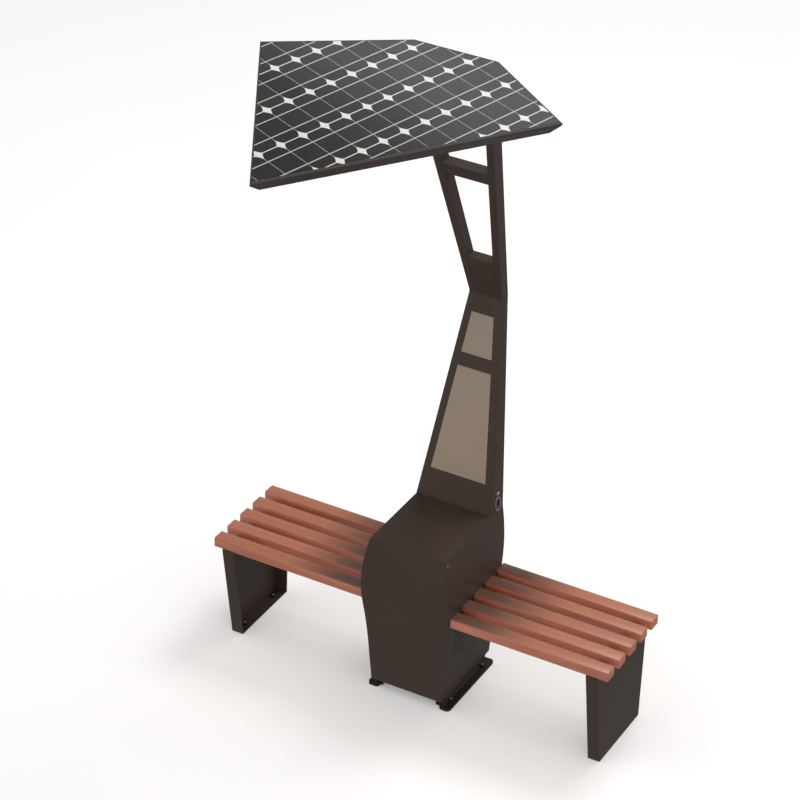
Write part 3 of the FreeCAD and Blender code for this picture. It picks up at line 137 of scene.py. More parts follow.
smoothCover = {"coat": 0.58, "coatRough": 0.06}   # clear cover over cells, ribbons and backsheet

# Each finish is named for the real material, with what it gives the eye beside it
finishes = {
    # polyester powder coat on steel: dark brown grey, satin, with an orange peel of about 1 mm
    "powderCoat": {"name": "polyester_powder_coat", "dark": "#352a23", "light": "#3d322b", "patchMm": 180,
                   "gritMm": 1.6, "deepMm": 0.05, "roughness": (0.36, 0.52), "relief": 0.35, "gloss": 0.2},
    # the same coat on the cabinet's floor pan, where it is left rough, and drawn darker as painted shade
    "shadedUndercoat": {"name": "unpolished_powder_coat_painted_shade", "dark": "#28241f", "light": "#302c26", "patchMm": 120,
                  "gritMm": 1.2, "deepMm": 0.06, "roughness": (0.55, 0.7), "relief": 0.5, "gloss": 0.2},
    # black primer on the floor runners, nearly matt
    "runnerCoat": {"name": "black_zinc_primer", "dark": "#1b1a16", "light": "#25221e", "patchMm": 90,
                   "gritMm": 1.2, "deepMm": 0.05, "roughness": (0.5, 0.65), "gloss": 0.2},
    # black oxide of the hexagon bolts: dark grey metal, slightly oily
    "blackOxide": {"name": "black_oxide_steel", "dark": "#1d1d1d", "light": "#2c2c2d", "patchMm": 12,
                   "gritMm": 0.8, "deepMm": 0.02, "roughness": (0.35, 0.5), "metallic": 0.7},
    # satin nickel ring of the charging port
    "satinNickel": {"name": "satin_nickel_plate", "dark": "#67635e", "light": "#76726d", "patchMm": 15,
                    "gritMm": 0.7, "deepMm": 0.01, "roughness": (0.4, 0.5), "metallic": 0.3},
    # lead of the battery's clamps: dull blue grey, soft and a little dented
    "castLead": {"name": "cast_lead", "dark": "#5b5d60", "light": "#797b7e", "patchMm": 8,
                 "gritMm": 1.5, "deepMm": 0.08, "roughness": (0.5, 0.65), "metallic": 0.6},
    # yellow plate behind the switch, moulded and satin
    "yellowAbs": {"name": "moulded_yellow_abs", "dark": "#c79a12", "light": "#d8ab20", "patchMm": 30,
                  "gritMm": 0.7, "deepMm": 0.02, "roughness": (0.35, 0.5)},
    # gold flash on the contacts in the sockets
    "goldFlash": {"name": "gold_flashed_contact", "dark": "#b8913c", "light": "#d5ad52", "patchMm": 4,
                  "gritMm": 0.4, "deepMm": 0.005, "roughness": (0.2, 0.3), "metallic": 1.0},
    # red PVC of the positive leads
    "redSheath": {"name": "red_pvc_sheath", "dark": "#8a1210", "light": "#a31a15", "patchMm": 25,
                  "gritMm": 0.9, "deepMm": 0.02, "roughness": (0.45, 0.6)},
    # powder coated aluminium of the canopy tray, a touch greyer than the steel
    "trayCoat": {"name": "powder_coated_aluminium", "dark": "#342d2a", "light": "#3d3532", "patchMm": 200,
                 "gritMm": 1.6, "deepMm": 0.05, "roughness": (0.36, 0.52), "relief": 0.35, "gloss": 0.25},
    # opal acrylic with a tan tint: an even, dull face that hides the lights behind it
    "opalAcrylic": {"name": "tan_opal_acrylic", "dark": "#7f6f60", "light": "#897969", "patchMm": 260,
                    "gritMm": 3.0, "deepMm": 0.02, "roughness": (0.42, 0.55), "ior": 1.49, "relief": 0.2},
    # zinc plated steel: pale grey metal with a faint cloudy bloom
    "zincPlate": {"name": "zinc_plated_steel", "dark": "#8f918f", "light": "#c9cac6", "patchMm": 9,
                  "gritMm": 0.8, "deepMm": 0.02, "roughness": (0.25, 0.42), "metallic": 1.0},
    # galvanised sheet: dull grey metal with broad spangle
    "galvanised": {"name": "galvanised_sheet", "dark": "#7c7f80", "light": "#a9acab", "patchMm": 14,
                   "gritMm": 2.0, "deepMm": 0.03, "roughness": (0.4, 0.55), "metallic": 0.9},
    # moulded ABS with a fine spark grain
    "blackAbs": {"name": "moulded_black_abs", "dark": "#161617", "light": "#1e1e20", "patchMm": 40,
                 "gritMm": 0.7, "deepMm": 0.03, "roughness": (0.38, 0.55), "ior": 1.54},
    # moulded ABS in the throat of the charging port, drawn dark grey rather than black as painted light in
    # the shade of its recess
    "paintedLightAbs": {"name": "moulded_abs_painted_light", "dark": "#46403d", "light": "#504a47", "patchMm": 40,
                "gritMm": 0.7, "deepMm": 0.03, "roughness": (0.4, 0.55), "ior": 1.54},
    # red moulded nylon of the switch knob
    "redNylon": {"name": "moulded_red_nylon", "dark": "#8d1512", "light": "#a01c16", "patchMm": 30,
                 "gritMm": 0.8, "deepMm": 0.02, "roughness": (0.32, 0.45), "ior": 1.53},
    # soft PVC cable sheath, matt black
    "cableSheath": {"name": "pvc_cable_sheath", "dark": "#141414", "light": "#1c1c1d", "patchMm": 25,
                    "gritMm": 0.9, "deepMm": 0.02, "roughness": (0.5, 0.62)},
    # black anodised aluminium, slightly metallic sheen
    "blackAnodised": {"name": "black_anodised_aluminium", "dark": "#232425", "light": "#2d2e2f",
                      "patchMm": 35, "gritMm": 0.6, "deepMm": 0.01, "roughness": (0.3, 0.42),
                      "metallic": 0.6},
    # white solder mask of the light boards
    "solderMask": {"name": "white_solder_mask", "dark": "#dcdcd6", "light": "#ecece6", "patchMm": 30,
                   "gritMm": 1.0, "deepMm": 0.01, "roughness": (0.3, 0.4)},
    # frosted polycarbonate of the port's small light, unlit: pale grey with a glossy top
    "frostedLens": {"name": "frosted_polycarbonate", "dark": "#8c8c88", "light": "#9a9a96", "patchMm": 20,
                    "gritMm": 0.8, "deepMm": 0.01, "roughness": (0.15, 0.25), "ior": 1.58, "coat": 0.5},
    # dark silicone seal around the cells, matt beside the smooth cover
    "edgeSeal": {"name": "dark_silicone_seal", "dark": "#332c29", "light": "#3a3330", "patchMm": 60,
                 "gritMm": 2.0, "deepMm": 0.02, "roughness": (0.5, 0.6), "gloss": 0.2},
    # white backsheet that shows between the cells
    "backsheet": {"name": "white_backsheet", "dark": "#cbcbc6", "light": "#d8d8d3", "patchMm": 60,
                  "gritMm": 2.0, "deepMm": 0.01, "roughness": (0.3, 0.4), "gloss": 0.05, **smoothCover},
    # tinned copper ribbon on the cells
    "tinnedRibbon": {"name": "tinned_copper_ribbon", "dark": "#b0b0a9", "light": "#c4c4bd", "patchMm": 30,
                     "gritMm": 1.0, "deepMm": 0.01, "roughness": (0.3, 0.4), "gloss": 0.2, **smoothCover},
}
materials = {key: finishMaterial(look) for key, look in finishes.items()}
print("coats, metals and plastics mixed:", len(materials))


timberLook = {
    "dark": "#b0624a", "deep": "#be6f56", "light": "#d08468", "deepAt": 0.4,
    "ringMm": 11, "ringTwist": 0.6,              # width of a growth ring, and how much it wanders
    "ringStretch": 0.05, "poreStretch": 0.06,    # rings and pores are drawn out along the board
    "warpPerMetre": 22.0,                        # slower waves that the rings follow
    "grainFrom": (0.75, 1.3),                    # where the summed waves go from dark to light
    "poreMm": 0.9,                               # pores are finer; drawn this coarse so that they show
    "poreFrom": (0.3, 0.45), "poreShade": 0.84, "poreRelief": 0.3, "poreDeepMm": 0.15,
    "roughness": (0.42, 0.3), "ior": 1.5, "coat": 0.28, "coatRough": 0.2,
    # the upper faces lie above these heights and get painted light: a greyer tone for the sky's sheen on
    # them, darker near the middle of the bench as painted shade and reflection of the cabinet; it goes from
    # inner to outer between two distances from the middle of the bench
    "upperMm": (447.6, 449.2), "paintedSheenShare": 0.9, "paintedShadeInner": "#46352a", "paintedSheenOuter": "#a0664d",
    "paintedShadeFromMm": (285, 500),
    # painted shade darkens the foremost face and the sides in the gaps, which begin here
    "paintedFaceShade": 0.74, "paintedGapShade": 0.84, "gapFromMm": (-221.5, -220.5),
}


def makeTimber(look):
    # Oiled red hardwood, planed: warm and satin, with long streaks of grain, fine pores and a tone per board,
    # and painted sheen and shade on its faces
    material, tree = newMaterial("oiled_red_hardwood")
    place = addNode(tree, "TexCoord").outputs["Object"]
    shift = addNode(tree, "Attribute", attribute_name="boardShift").outputs["Vector"]
    tone = addNode(tree, "Attribute", attribute_name="boardTone").outputs["Fac"]
    moved = addNode(tree, "VectorMath", {0: place, 1: shift}, operation="ADD").outputs["Vector"]
    forRings, forPores = (
        addNode(tree, "Mapping", {"Vector": moved, "Scale": (look[key], 1.0, 1.0)}).outputs["Vector"]
        for key in ("ringStretch", "poreStretch"))
    warp = noise(tree, forRings, look["warpPerMetre"], 3.0)
    rings = noise(tree, forRings, 1000 / look["ringMm"], 4.0, look["ringTwist"])
    grain = spread(tree, combine(tree, "ADD", rings, warp), 0.0, 1.0, *look["grainFrom"])
    ramp = addNode(tree, "ValToRGB", {"Fac": grain})
    stops = ramp.color_ramp.elements
    stops[0].color, stops[1].color = toLinear(look["dark"]), toLinear(look["light"])
    stops.new(look["deepAt"]).color = toLinear(look["deep"])
    fresh = brightened(tree, ramp.outputs["Color"], tone)
    # painted sheen and shade: the upper faces take a greyer tone for the sky's reflection, darkest near the
    # cabinet for its shade and reflection, and their grain shows fainter
    parts = addNode(tree, "SeparateXYZ", {"Vector": place}).outputs
    upper = spread(tree, parts["Z"], 0.0, 1.0, *(at * mm for at in look["upperMm"]))
    aside = combine(tree, "ABSOLUTE", parts["X"])
    outward = spread(tree, aside, 0.0, 1.0, *(at * mm for at in look["paintedShadeFromMm"]))
    paintedTops = brightened(tree, twoTone(tree, outward, look["paintedShadeInner"], look["paintedSheenOuter"]), tone)
    share = combine(tree, "MULTIPLY", upper, look["paintedSheenShare"])
    toned = addNode(tree, "MixRGB", {"Fac": share, "Color1": fresh, "Color2": paintedTops}).outputs["Color"]
    pores = noise(tree, forPores, 1000 / look["poreMm"], 1.0)
    dots = spread(tree, pores, 0.0, 1.0, *look["poreFrom"])
    # painted shade on every face below the upper ones: the foremost face darkest, the others a little less
    paintedSideShade = spread(tree, parts["Y"], look["paintedFaceShade"], look["paintedGapShade"],
                   *(at * mm for at in look["gapFromMm"]))
    shadeBelowTops = combine(tree, "MAXIMUM", paintedSideShade, upper)
    shade = combine(tree, "MULTIPLY", spread(tree, dots, look["poreShade"], 1.0), shadeBelowTops)
    finishShader(tree, {
        "Base Color": brightened(tree, toned, shade), "Roughness": spread(tree, grain, *look["roughness"]),
        "IOR": look["ior"], "Coat Weight": look["coat"], "Coat Roughness": look["coatRough"],
        "Normal": relief(tree, dots, look["poreRelief"], look["poreDeepMm"])})
    return material


materials["timber"] = makeTimber(timberLook)

cellLook = {"dark": "#1c1c1c", "light": "#282827", "finger": "#343432", "fingersAcross": 48.0,
            "fingerShare": 0.14, "roughness": 0.35, "gloss": 0.05, **smoothCover}


def makeSilicon(look):
    # Monocrystalline silicon under a smooth cover: near black, a tone per cell, and thin grey fingers
    material, tree = newMaterial("monocrystalline_silicon")
    cell = addNode(tree, "Attribute", attribute_name="cellTone").outputs["Fac"]
    lattice = addNode(tree, "UVMap", uv_map="lattice").outputs["UV"]
    parts = addNode(tree, "SeparateXYZ", {"Vector": lattice}).outputs
    teeth = combine(tree, "FRACT", combine(tree, "MULTIPLY", parts["X"], look["fingersAcross"]))
    line = combine(tree, "LESS_THAN", teeth, look["fingerShare"])
    body = twoTone(tree, cell, look["dark"], look["light"])
    colour = addNode(tree, "MixRGB", {"Fac": line, "Color1": body, "Color2": toLinear(look["finger"])})
    finishShader(tree, {
        "Base Color": colour.outputs["Color"], "Roughness": look["roughness"],
        "Specular IOR Level": look["gloss"], "Coat Weight": look["coat"],
        "Coat Roughness": look["coatRough"]})
    return material


materials["silicon"] = makeSilicon(cellLook)
print("timber and cells mixed")


# Meshes

def placePiece(mesh, name, body, finish, replaced=()):
    # An object at the origin that rides on its body
    piece = bpy.data.objects.new(name, mesh)
    bpy.context.scene.collection.objects.link(piece)
    mesh.materials.clear()
    mesh.materials.append(materials[finish])
    if replaced:
        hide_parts(*replaced)
    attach(piece, body)
    return piece


def meshFrom(name, points, faces):
    mesh = bpy.data.meshes.new(name)
    mesh.from_pydata(np.asarray(points, float).reshape(-1, 3).tolist(), [], [list(f) for f in faces])
    mesh.validate()
    mesh.update()
    return mesh


def ringFaces(rows, columns):
    # Four-sided faces between closed rings of points, so the last column joins the first
    row, column = np.meshgrid(np.arange(rows - 1), np.arange(columns), indexing="ij")
    nextColumn = (column + 1) % columns
    corners = np.stack([row * columns + column, row * columns + nextColumn,
                        (row + 1) * columns + nextColumn, (row + 1) * columns + column], axis=-1)
    return corners.reshape(-1, 4).tolist()


def joinedTubes(name, ringSets, capped=True):
    # Each ring set is (rows, sides, 3): closed rings joined one to the next, with a flat face at each end.
    # Uncapped sets are hoops, whose last ring lies on the first.
    points, faces, base = [], [], 0
    for rings in ringSets:
        rows, sides = rings.shape[:2]
        points.append(rings.reshape(-1, 3))
        faces += (np.array(ringFaces(rows, sides)) + base).tolist()
        if capped:
            faces.append((np.arange(sides)[::-1] + base).tolist())
            faces.append((np.arange(sides) + base + (rows - 1) * sides).tolist())
        base += rows * sides
    mesh = meshFrom(name, np.concatenate(points), faces)
    shape = bmesh.new()
    shape.from_mesh(mesh)
    if not capped:
        bmesh.ops.remove_doubles(shape, verts=shape.verts, dist=oneSpot)
    bmesh.ops.recalc_face_normals(shape, faces=shape.faces)
    shape.to_mesh(mesh)
    shape.free()
    return mesh


def turnedRings(place, normal, profile, sides, start=0.0):
    # A profile of (radius, height) pairs turned about a normal through a place
    normal = np.array(normal, float) / np.linalg.norm(normal)
    upright = abs(normal[2]) >= 0.9
    side = np.cross(normal, (0, 1, 0) if upright else (0, 0, 1))
    side /= np.linalg.norm(side)
    other = np.cross(normal, side)
    profile = np.array(profile, float)
    angle = start + np.arange(sides) * 2 * math.pi / sides
    around = np.cos(angle)[:, None] * side + np.sin(angle)[:, None] * other
    return np.array(place) + profile[:, :1, None] * around + profile[:, 1:, None] * normal


def sweptRings(path, radius, sides, beside):
    # A round section carried along a path of points; the radius may change on the way. beside is any
    # direction that the path never runs along.
    run = np.gradient(path, axis=0)
    run /= np.linalg.norm(run, axis=1, keepdims=True)
    side = np.cross(run, beside)
    side /= np.linalg.norm(side, axis=1, keepdims=True)
    other = np.cross(run, side)
    angle = np.arange(sides) * 2 * math.pi / sides
    radius = np.broadcast_to(radius, len(path))[:, None, None]
    turned = np.cos(angle)[:, None] * side[:, None] + np.sin(angle)[:, None] * other[:, None]
    return path[:, None] + radius * turned


def smoothPath(corners, steps):
    # A curve through a chain of points: each stretch blends two parabolas through three neighbours
    corners = np.array(corners, float)
    padded = np.concatenate([2 * corners[:1] - corners[1:2], corners, 2 * corners[-1:] - corners[-2:-1]])
    t = np.linspace(0, 1, steps, endpoint=False)[:, None]
    parts = []
    for a, b, c, d in zip(padded, padded[1:], padded[2:], padded[3:]):
        parts.append(0.5 * (2 * b + (c - a) * t + (2 * a - 5 * b + 4 * c - d) * t ** 2
                            + (3 * b - a - 3 * c + d) * t ** 3))
    return np.concatenate(parts + [corners[-1:]])


def shadeByAngle(mesh, degrees):
    # Smooth over gentle bends, crisp over folds
    mesh.shade_smooth()
    mesh.set_sharp_from_angle(angle=math.radians(degrees))


edges = {"roundMm": 0.8, "steps": 2, "flatDegrees": 0.4, "foldDegrees": 32}


def softened(nodeName, finish, roundMm=edges["roundMm"], body="bench"):
    # A copy of a sheet metal piece with the small round that folding, cutting and coating leave on an edge
    mesh = cadNodes[nodeName].data.copy()
    mesh.name = nodeName + "_coated"
    shape = bmesh.new()
    shape.from_mesh(mesh)
    bmesh.ops.remove_doubles(shape, verts=shape.verts, dist=oneSpot)
    bmesh.ops.dissolve_limit(shape, angle_limit=math.radians(edges["flatDegrees"]), verts=shape.verts,
                             edges=shape.edges)
    shape.to_mesh(mesh)
    shape.free()
    for attribute in list(mesh.attributes):
        if attribute.name == "custom_normal":
            mesh.attributes.remove(attribute)
    mesh.shade_smooth()
    piece = placePiece(mesh, nodeName + "_coated", body, finish, (nodeName,))
    bevel = piece.modifiers.new("edge", "BEVEL")
    bevel.width = roundMm * mm
    bevel.segments = edges["steps"]
    bevel.limit_method = "ANGLE"
    bevel.angle_limit = math.radians(edges["foldDegrees"])
    bevel.harden_normals = True
    bevel.use_clamp_overlap = True
    return piece


coated = {
    "powderCoat": ["side_plate_right", "side_plate_left", "front_panel", "table_top", "tower_front",
                   "tower_back", "rear_frame", "waist_plate", "mast_leg_right", "mast_leg_left",
                   "mast_gusset", "mast_cross_bar", "mast_head_plate", "end_leg_right", "end_leg_left",
                   "seat_bracket_right", "seat_bracket_left", "plinth_frame"],
    "runnerCoat": ["foot_runner_right", "foot_runner_left"],
}
for finish, names in coated.items():
    for name in names:
        softened(name, finish)
softened("rear_door", "powderCoat", body="service_door")
softened("canopy_tray", "trayCoat")
for name in ("diffuser_lower", "diffuser_upper"):
    softened(name, "opalAcrylic", roundMm=0.5)

# Half the distance between the side plates' outer faces, at the table's height and at the waist's
towerSide = {"tableHalf": 0.153, "waistHalf": 0.065, "tableHigh": 0.681, "waistHigh": 1.466}


def sideHalf(high):
    share = (high - towerSide["tableHigh"]) / (towerSide["waistHigh"] - towerSide["tableHigh"])
    return towerSide["tableHalf"] + (towerSide["waistHalf"] - towerSide["tableHalf"]) * np.maximum(share, 0)


bezels = {"roundMm": 0.4, "platedMm": 0.2}   # what lies this far outside the side plate is plated


def makeBezels(look):
    # The ring outside the side plate is plated; the throat behind it is plastic, drawn grey as painted light
    # in its shade. The side plate leans, so the ring is told apart by its distance from the plate's outer
    # face.
    mesh = softened("port_bezels", "paintedLightAbs", look["roundMm"]).data
    mesh.materials.append(materials["satinNickel"])
    middles = np.zeros(len(mesh.polygons) * 3)
    mesh.polygons.foreach_get("center", middles)
    middles = middles.reshape(-1, 3)
    outside = np.abs(middles[:, 0]) - sideHalf(middles[:, 2]) > look["platedMm"] * mm
    mesh.polygons.foreach_set("material_index", outside.astype(np.int32))
    mesh.update()


makeBezels(bezels)
print("sheet metal pieces have their edges eased")


# Seats

boards = {
    "roundMm": 2.0, "cornerSteps": 5,
    # the sawn ends are eased: how far along the board, how deep, and the shares of both at each step
    "easeMm": 1.0, "easeDeepMm": 0.6, "easeAlong": (0.0, 0.3, 1.0), "easeDeep": (1.0, 0.3, 0.0),
    "grainShift": 3, "tones": (0.95, 1.06), "seed": 7,
}


def boardProfile(low, high, radius, steps):
    # The rounded rectangle of a board's section: four quarter circles, as (y, z) points in order
    quarter = np.linspace(0, math.pi / 2, steps)
    turns = np.concatenate([quarter + k * math.pi / 2 for k in range(4)])
    centreY = np.repeat([high[0] - radius, low[0] + radius, low[0] + radius, high[0] - radius], steps)
    centreZ = np.repeat([high[1] - radius, high[1] - radius, low[1] + radius, low[1] + radius], steps)
    return np.stack([centreY + radius * np.cos(turns), centreZ + radius * np.sin(turns)], axis=1)


def makeBoards(look):
    random = np.random.default_rng(look["seed"])
    steps = np.array(look["easeAlong"]) * look["easeMm"] * mm
    deep = np.array(look["easeDeep"]) * look["easeDeepMm"] * mm
    inset = np.concatenate([deep, [0.0], deep[::-1]])
    for side in ("right", "left"):
        for number in range(1, 6):
            nodeName, name = f"slat_{side}_{number}", f"board_{side}_{number}"
            low, high = (np.array(corner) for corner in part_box(nodeName))
            profile = boardProfile(low[1:], high[1:], look["roundMm"] * mm, look["cornerSteps"])
            middle, half = (low + high) / 2, (high - low) / 2
            stations = np.concatenate([low[0] + steps, middle[:1], high[0] - steps[::-1]])
            rings = np.zeros((len(stations), len(profile), 3))
            rings[:, :, 0] = stations[:, None]
            rings[:, :, 1:] = middle[1:] + (profile - middle[1:]) * (1 - inset[:, None, None] / half[1:])
            mesh = joinedTubes(name, [rings])
            count = len(mesh.vertices)
            shift = np.tile(random.uniform(-look["grainShift"], look["grainShift"], 3), count)
            mesh.attributes.new("boardShift", "FLOAT_VECTOR", "POINT").data.foreach_set("vector", shift)
            tone = np.full(count, random.uniform(*look["tones"]))
            mesh.attributes.new("boardTone", "FLOAT", "POINT").data.foreach_set("value", tone)
            shadeByAngle(mesh, 40)
            placePiece(mesh, name, "bench", "timber", (nodeName,))


makeBoards(boards)
print("ten boards planed")


# Solar laminate, in the canopy's own tilted plane

canopy = {
    "tilt": 4.06, "high": 2.5485,
    "sideHalf": 0.554, "side": -0.331, "backHalf": 0.157, "back": -0.003, "tip": -1.311,
    "rim": 0.0036,   # from the outline to the laminate's edge
    # dark seal along each edge, from the left front one on
    "sealBand": (0.002, 0.013, 0.002, 0.002, 0.002),
    # one corner of a cell, and the way to the next cell on two sides
    "star": (-0.4165, -0.5993), "alongCell": (0.0169, 0.1044), "acrossCell": (0.1882, -0.0983),
    "alongCells": (-14, 16), "acrossCells": (-6, 8),
    "cornerAlong": 0.17, "cornerAcross": 0.15, "cornerBulge": 0.35, "cornerSteps": 7,
    "chainGapMm": 4.8, "rowGapMm": 1.4, "ribbonMm": 4.8, "ribbonAt": (0.27, 0.73),
    "top": -0.0005, "foilMm": 0.05, "stepMm": 0.1, "seed": 3,
}


def toCanopy(flat, lift):
    # (x, y) in the tilted plane and a height above it, to the model's frame
    tilt = math.radians(canopy["tilt"])
    x, y = flat[..., 0], flat[..., 1]
    return np.stack([x, y * math.cos(tilt) + lift * math.sin(tilt),
                     canopy["high"] - y * math.sin(tilt) + lift * math.cos(tilt)], axis=-1)


def canopyCorners():
    c = canopy
    return np.array([(-c["sideHalf"], c["side"]), (0.0, c["tip"]), (c["sideHalf"], c["side"]),
                     (c["backHalf"], c["back"]), (-c["backHalf"], c["back"])])


def clipFlat(shape):
    # Cut away what lies outside the five-sided outline, drawn in by the rim and the seal
    corners = canopyCorners()
    for here, there, band in zip(corners, np.roll(corners, -1, axis=0), canopy["sealBand"]):
        run = (there - here) / np.linalg.norm(there - here)
        outward = np.array([run[1], -run[0]])
        point = here - outward * (canopy["rim"] + band)
        everything = shape.verts[:] + shape.edges[:] + shape.faces[:]
        bmesh.ops.bisect_plane(shape, geom=everything, plane_co=(point[0], point[1], 0),
                               plane_no=(outward[0], outward[1], 0), clear_outer=True)


def flatSheet(name, finish, loops, lift, uvs=None, tones=None):
    # Flat outlines cut to the canopy, lifted into its plane and given a foil's thickness
    shape = bmesh.new()
    uvLayer = shape.loops.layers.uv.new("lattice")
    toneLayer = shape.faces.layers.float.new("cellTone")
    for number, loop in enumerate(loops):
        corners = [shape.verts.new((x, y, 0)) for x, y in loop]
        face = shape.faces.new(corners)
        if tones is not None:
            face[toneLayer] = float(tones[number])
        if uvs is not None:
            for corner, uv in zip(face.loops, uvs[number]):
                corner[uvLayer].uv = uv
    clipFlat(shape)
    bmesh.ops.recalc_face_normals(shape, faces=shape.faces)
    mesh = bpy.data.meshes.new(name)
    shape.to_mesh(mesh)
    shape.free()
    flat = np.zeros(len(mesh.vertices) * 3)
    mesh.vertices.foreach_get("co", flat)
    placed = toCanopy(flat.reshape(-1, 3), canopy["top"] + lift)
    mesh.vertices.foreach_set("co", placed.ravel())
    mesh.update()
    piece = placePiece(mesh, name, "bench", finish)
    foil = piece.modifiers.new("foil", "SOLIDIFY")
    foil.thickness = canopy["foilMm"] * mm
    foil.offset = 0


def makeCells():
    c = canopy
    origin, along, across = (np.array(c[key]) for key in ("star", "alongCell", "acrossCell"))
    random = np.random.default_rng(c["seed"])
    gapAlong = c["rowGapMm"] * mm / 2 / np.linalg.norm(along)
    gapAcross = c["chainGapMm"] * mm / 2 / np.linalg.norm(across)
    turn = np.linspace(0, math.pi / 2, c["cornerSteps"])
    # A cell in lattice units: a unit square drawn in by half a gap, whose corners are cut by a line that
    # bulges part of the way to a quarter ellipse
    cut, bulge = turn / turn[-1], c["cornerBulge"]
    arcA = c["cornerAlong"] * (bulge * (1 - np.cos(turn)) + (1 - bulge) * cut)
    arcB = c["cornerAcross"] * (bulge * (1 - np.sin(turn)) + (1 - bulge) * (1 - cut))
    low = np.stack([gapAlong + arcA, gapAcross + arcB], axis=1)
    highA = low * [1, -1] + [0, 1]
    corners = np.concatenate([low, (low * [-1, 1] + [1, 0])[::-1], 1 - low, highA[::-1]])
    first, last = c["alongCells"]
    cells, uvs, tones = [], [], []
    for i in range(first, last):
        for j in range(*c["acrossCells"]):
            lattice = corners + [i, j]
            cells.append(origin + lattice[:, :1] * along + lattice[:, 1:] * across)
            uvs.append(lattice)
            tones.append(random.uniform(0, 1))
    wide = canopyCorners() * 1.2   # cut back to the canopy, as the cells are
    step = c["stepMm"] * mm
    flatSheet("cell_backsheet", "backsheet", [wide], step)
    flatSheet("solar_cells", "silicon", cells, 2 * step, uvs, tones)
    half = c["ribbonMm"] * mm / 2 / np.linalg.norm(across)
    ribbons = []
    for j in range(*c["acrossCells"]):
        for at in c["ribbonAt"]:
            ends = np.array([(first, j + at - half), (last - 1, j + at - half),
                             (last - 1, j + at + half), (first, j + at + half)])
            ribbons.append(origin + ends[:, :1] * along + ends[:, 1:] * across)
    flatSheet("cell_ribbons", "tinnedRibbon", ribbons, 3 * step)


makeCells()
print("cells laid on the canopy")


# Anchor bolts in the floor holes

bolts = {
    "washerMm": (11.0, 2.0), "nutMm": (8.5, 6.0), "rodMm": (5.5, 3.0),   # radius and height of each
    "washerEaseMm": (0.5, 0.4), "nutEaseMm": (1.28, 0.8), "rodEaseMm": 1.0,   # how much each edge is cut
    "liftMm": 0.05, "turn": 0.3,
    # the right-hand holes, each with the height of the steel around it
    "feet": [(0.1475, -0.1225, 0.010), (0.1475, 0.1225, 0.010),
             (0.750, -0.100, 0.004), (0.750, 0.108, 0.004)],
}


def makeAnchorBolts(look):
    # Hexagon nut on a washer, with the end of the anchor rod above it, at each foot hole
    places = [(sign * x, y, z) for x, y, z in look["feet"] for sign in (1, -1)]
    (washer, thick), (nut, tall), (rod, proud), (easeIn, easeUp), (bevelIn, bevelDown) = (
        np.array(look[key]) * mm for key in ("washerMm", "nutMm", "rodMm", "washerEaseMm", "nutEaseMm"))
    tip, corner, top = look["rodEaseMm"] * mm, nut / math.cos(math.pi / 6), thick + tall
    shapes = {
        "anchor_washers": ("blackOxide", 28, [(washer - easeIn, look["liftMm"] * mm), (washer, easeUp),
                                              (washer, thick - easeUp), (washer - easeIn, thick)]),
        "anchor_nuts": ("blackOxide", 6, [(corner, thick), (corner, top - bevelDown),
                                          (corner - bevelIn, top)]),
        "anchor_rods": ("zincPlate", 20, [(rod, top - tip), (rod, top + proud - tip),
                                          (rod - tip, top + proud)]),
    }
    for name, (finish, sides, profile) in shapes.items():
        rings = [turnedRings(place, (0, 0, 1), profile, sides, look["turn"]) for place in places]
        mesh = joinedTubes(name, rings)
        shadeByAngle(mesh, 30)
        placePiece(mesh, name, "bench", finish)


makeAnchorBolts(bolts)
print("anchor bolts set")


# Rivets, screws and welds

fixings = {
    # radius and height of each dome
    "rivetMm": (4.2, 1.5), "screwMm": (4.6, 1.6), "hingeScrewMm": (3.1, 0.7), "sideRivetMm": (3.4, 1.2),
    "backHeights": (0.50, 0.68, 0.86, 1.04, 1.22, 1.40), "backInsetMm": 17,
    "backKnee": (0.178, 0.455), "backTop": (0.349, 1.466),   # (y, z) of the back cover's lower and upper edge
    "frameX": 0.1305, "frameHeights": (0.095, 0.25, 0.42), "frameY": 0.178,
    "hingeX": -0.11125, "hingeAcrossMm": 18, "hingeY": 0.180,
    "hingeHeights": (0.130, 0.150, 0.170, 0.330, 0.350, 0.370),
    "sideRivet": (0.1577, -0.2125, 0.664), "sideNormal": (0.985, 0.0, 0.17),
    "trayInsetMm": 46, "trayEnd": 0.09, "trayPitch": 0.16, "trayDeep": 0.040,
}


def domeProfile(size, steps=6, crownShare=0.08):
    # A low dome: quarter of an ellipse from its rim up to a small flat crown
    radius, tall = size[0] * mm, size[1] * mm
    turn = np.linspace(0, math.pi / 2, steps)[:-1]
    curve = np.stack([radius * np.cos(turn), tall * np.sin(turn)], axis=1)
    return curve.tolist() + [[radius * crownShare, tall]]


def addDomes(name, spots, normal, size, finish, body="bench", sides=16):
    mesh = joinedTubes(name, [turnedRings(spot, normal, domeProfile(size), sides) for spot in spots])
    shadeByAngle(mesh, 60)
    placePiece(mesh, name, body, finish)


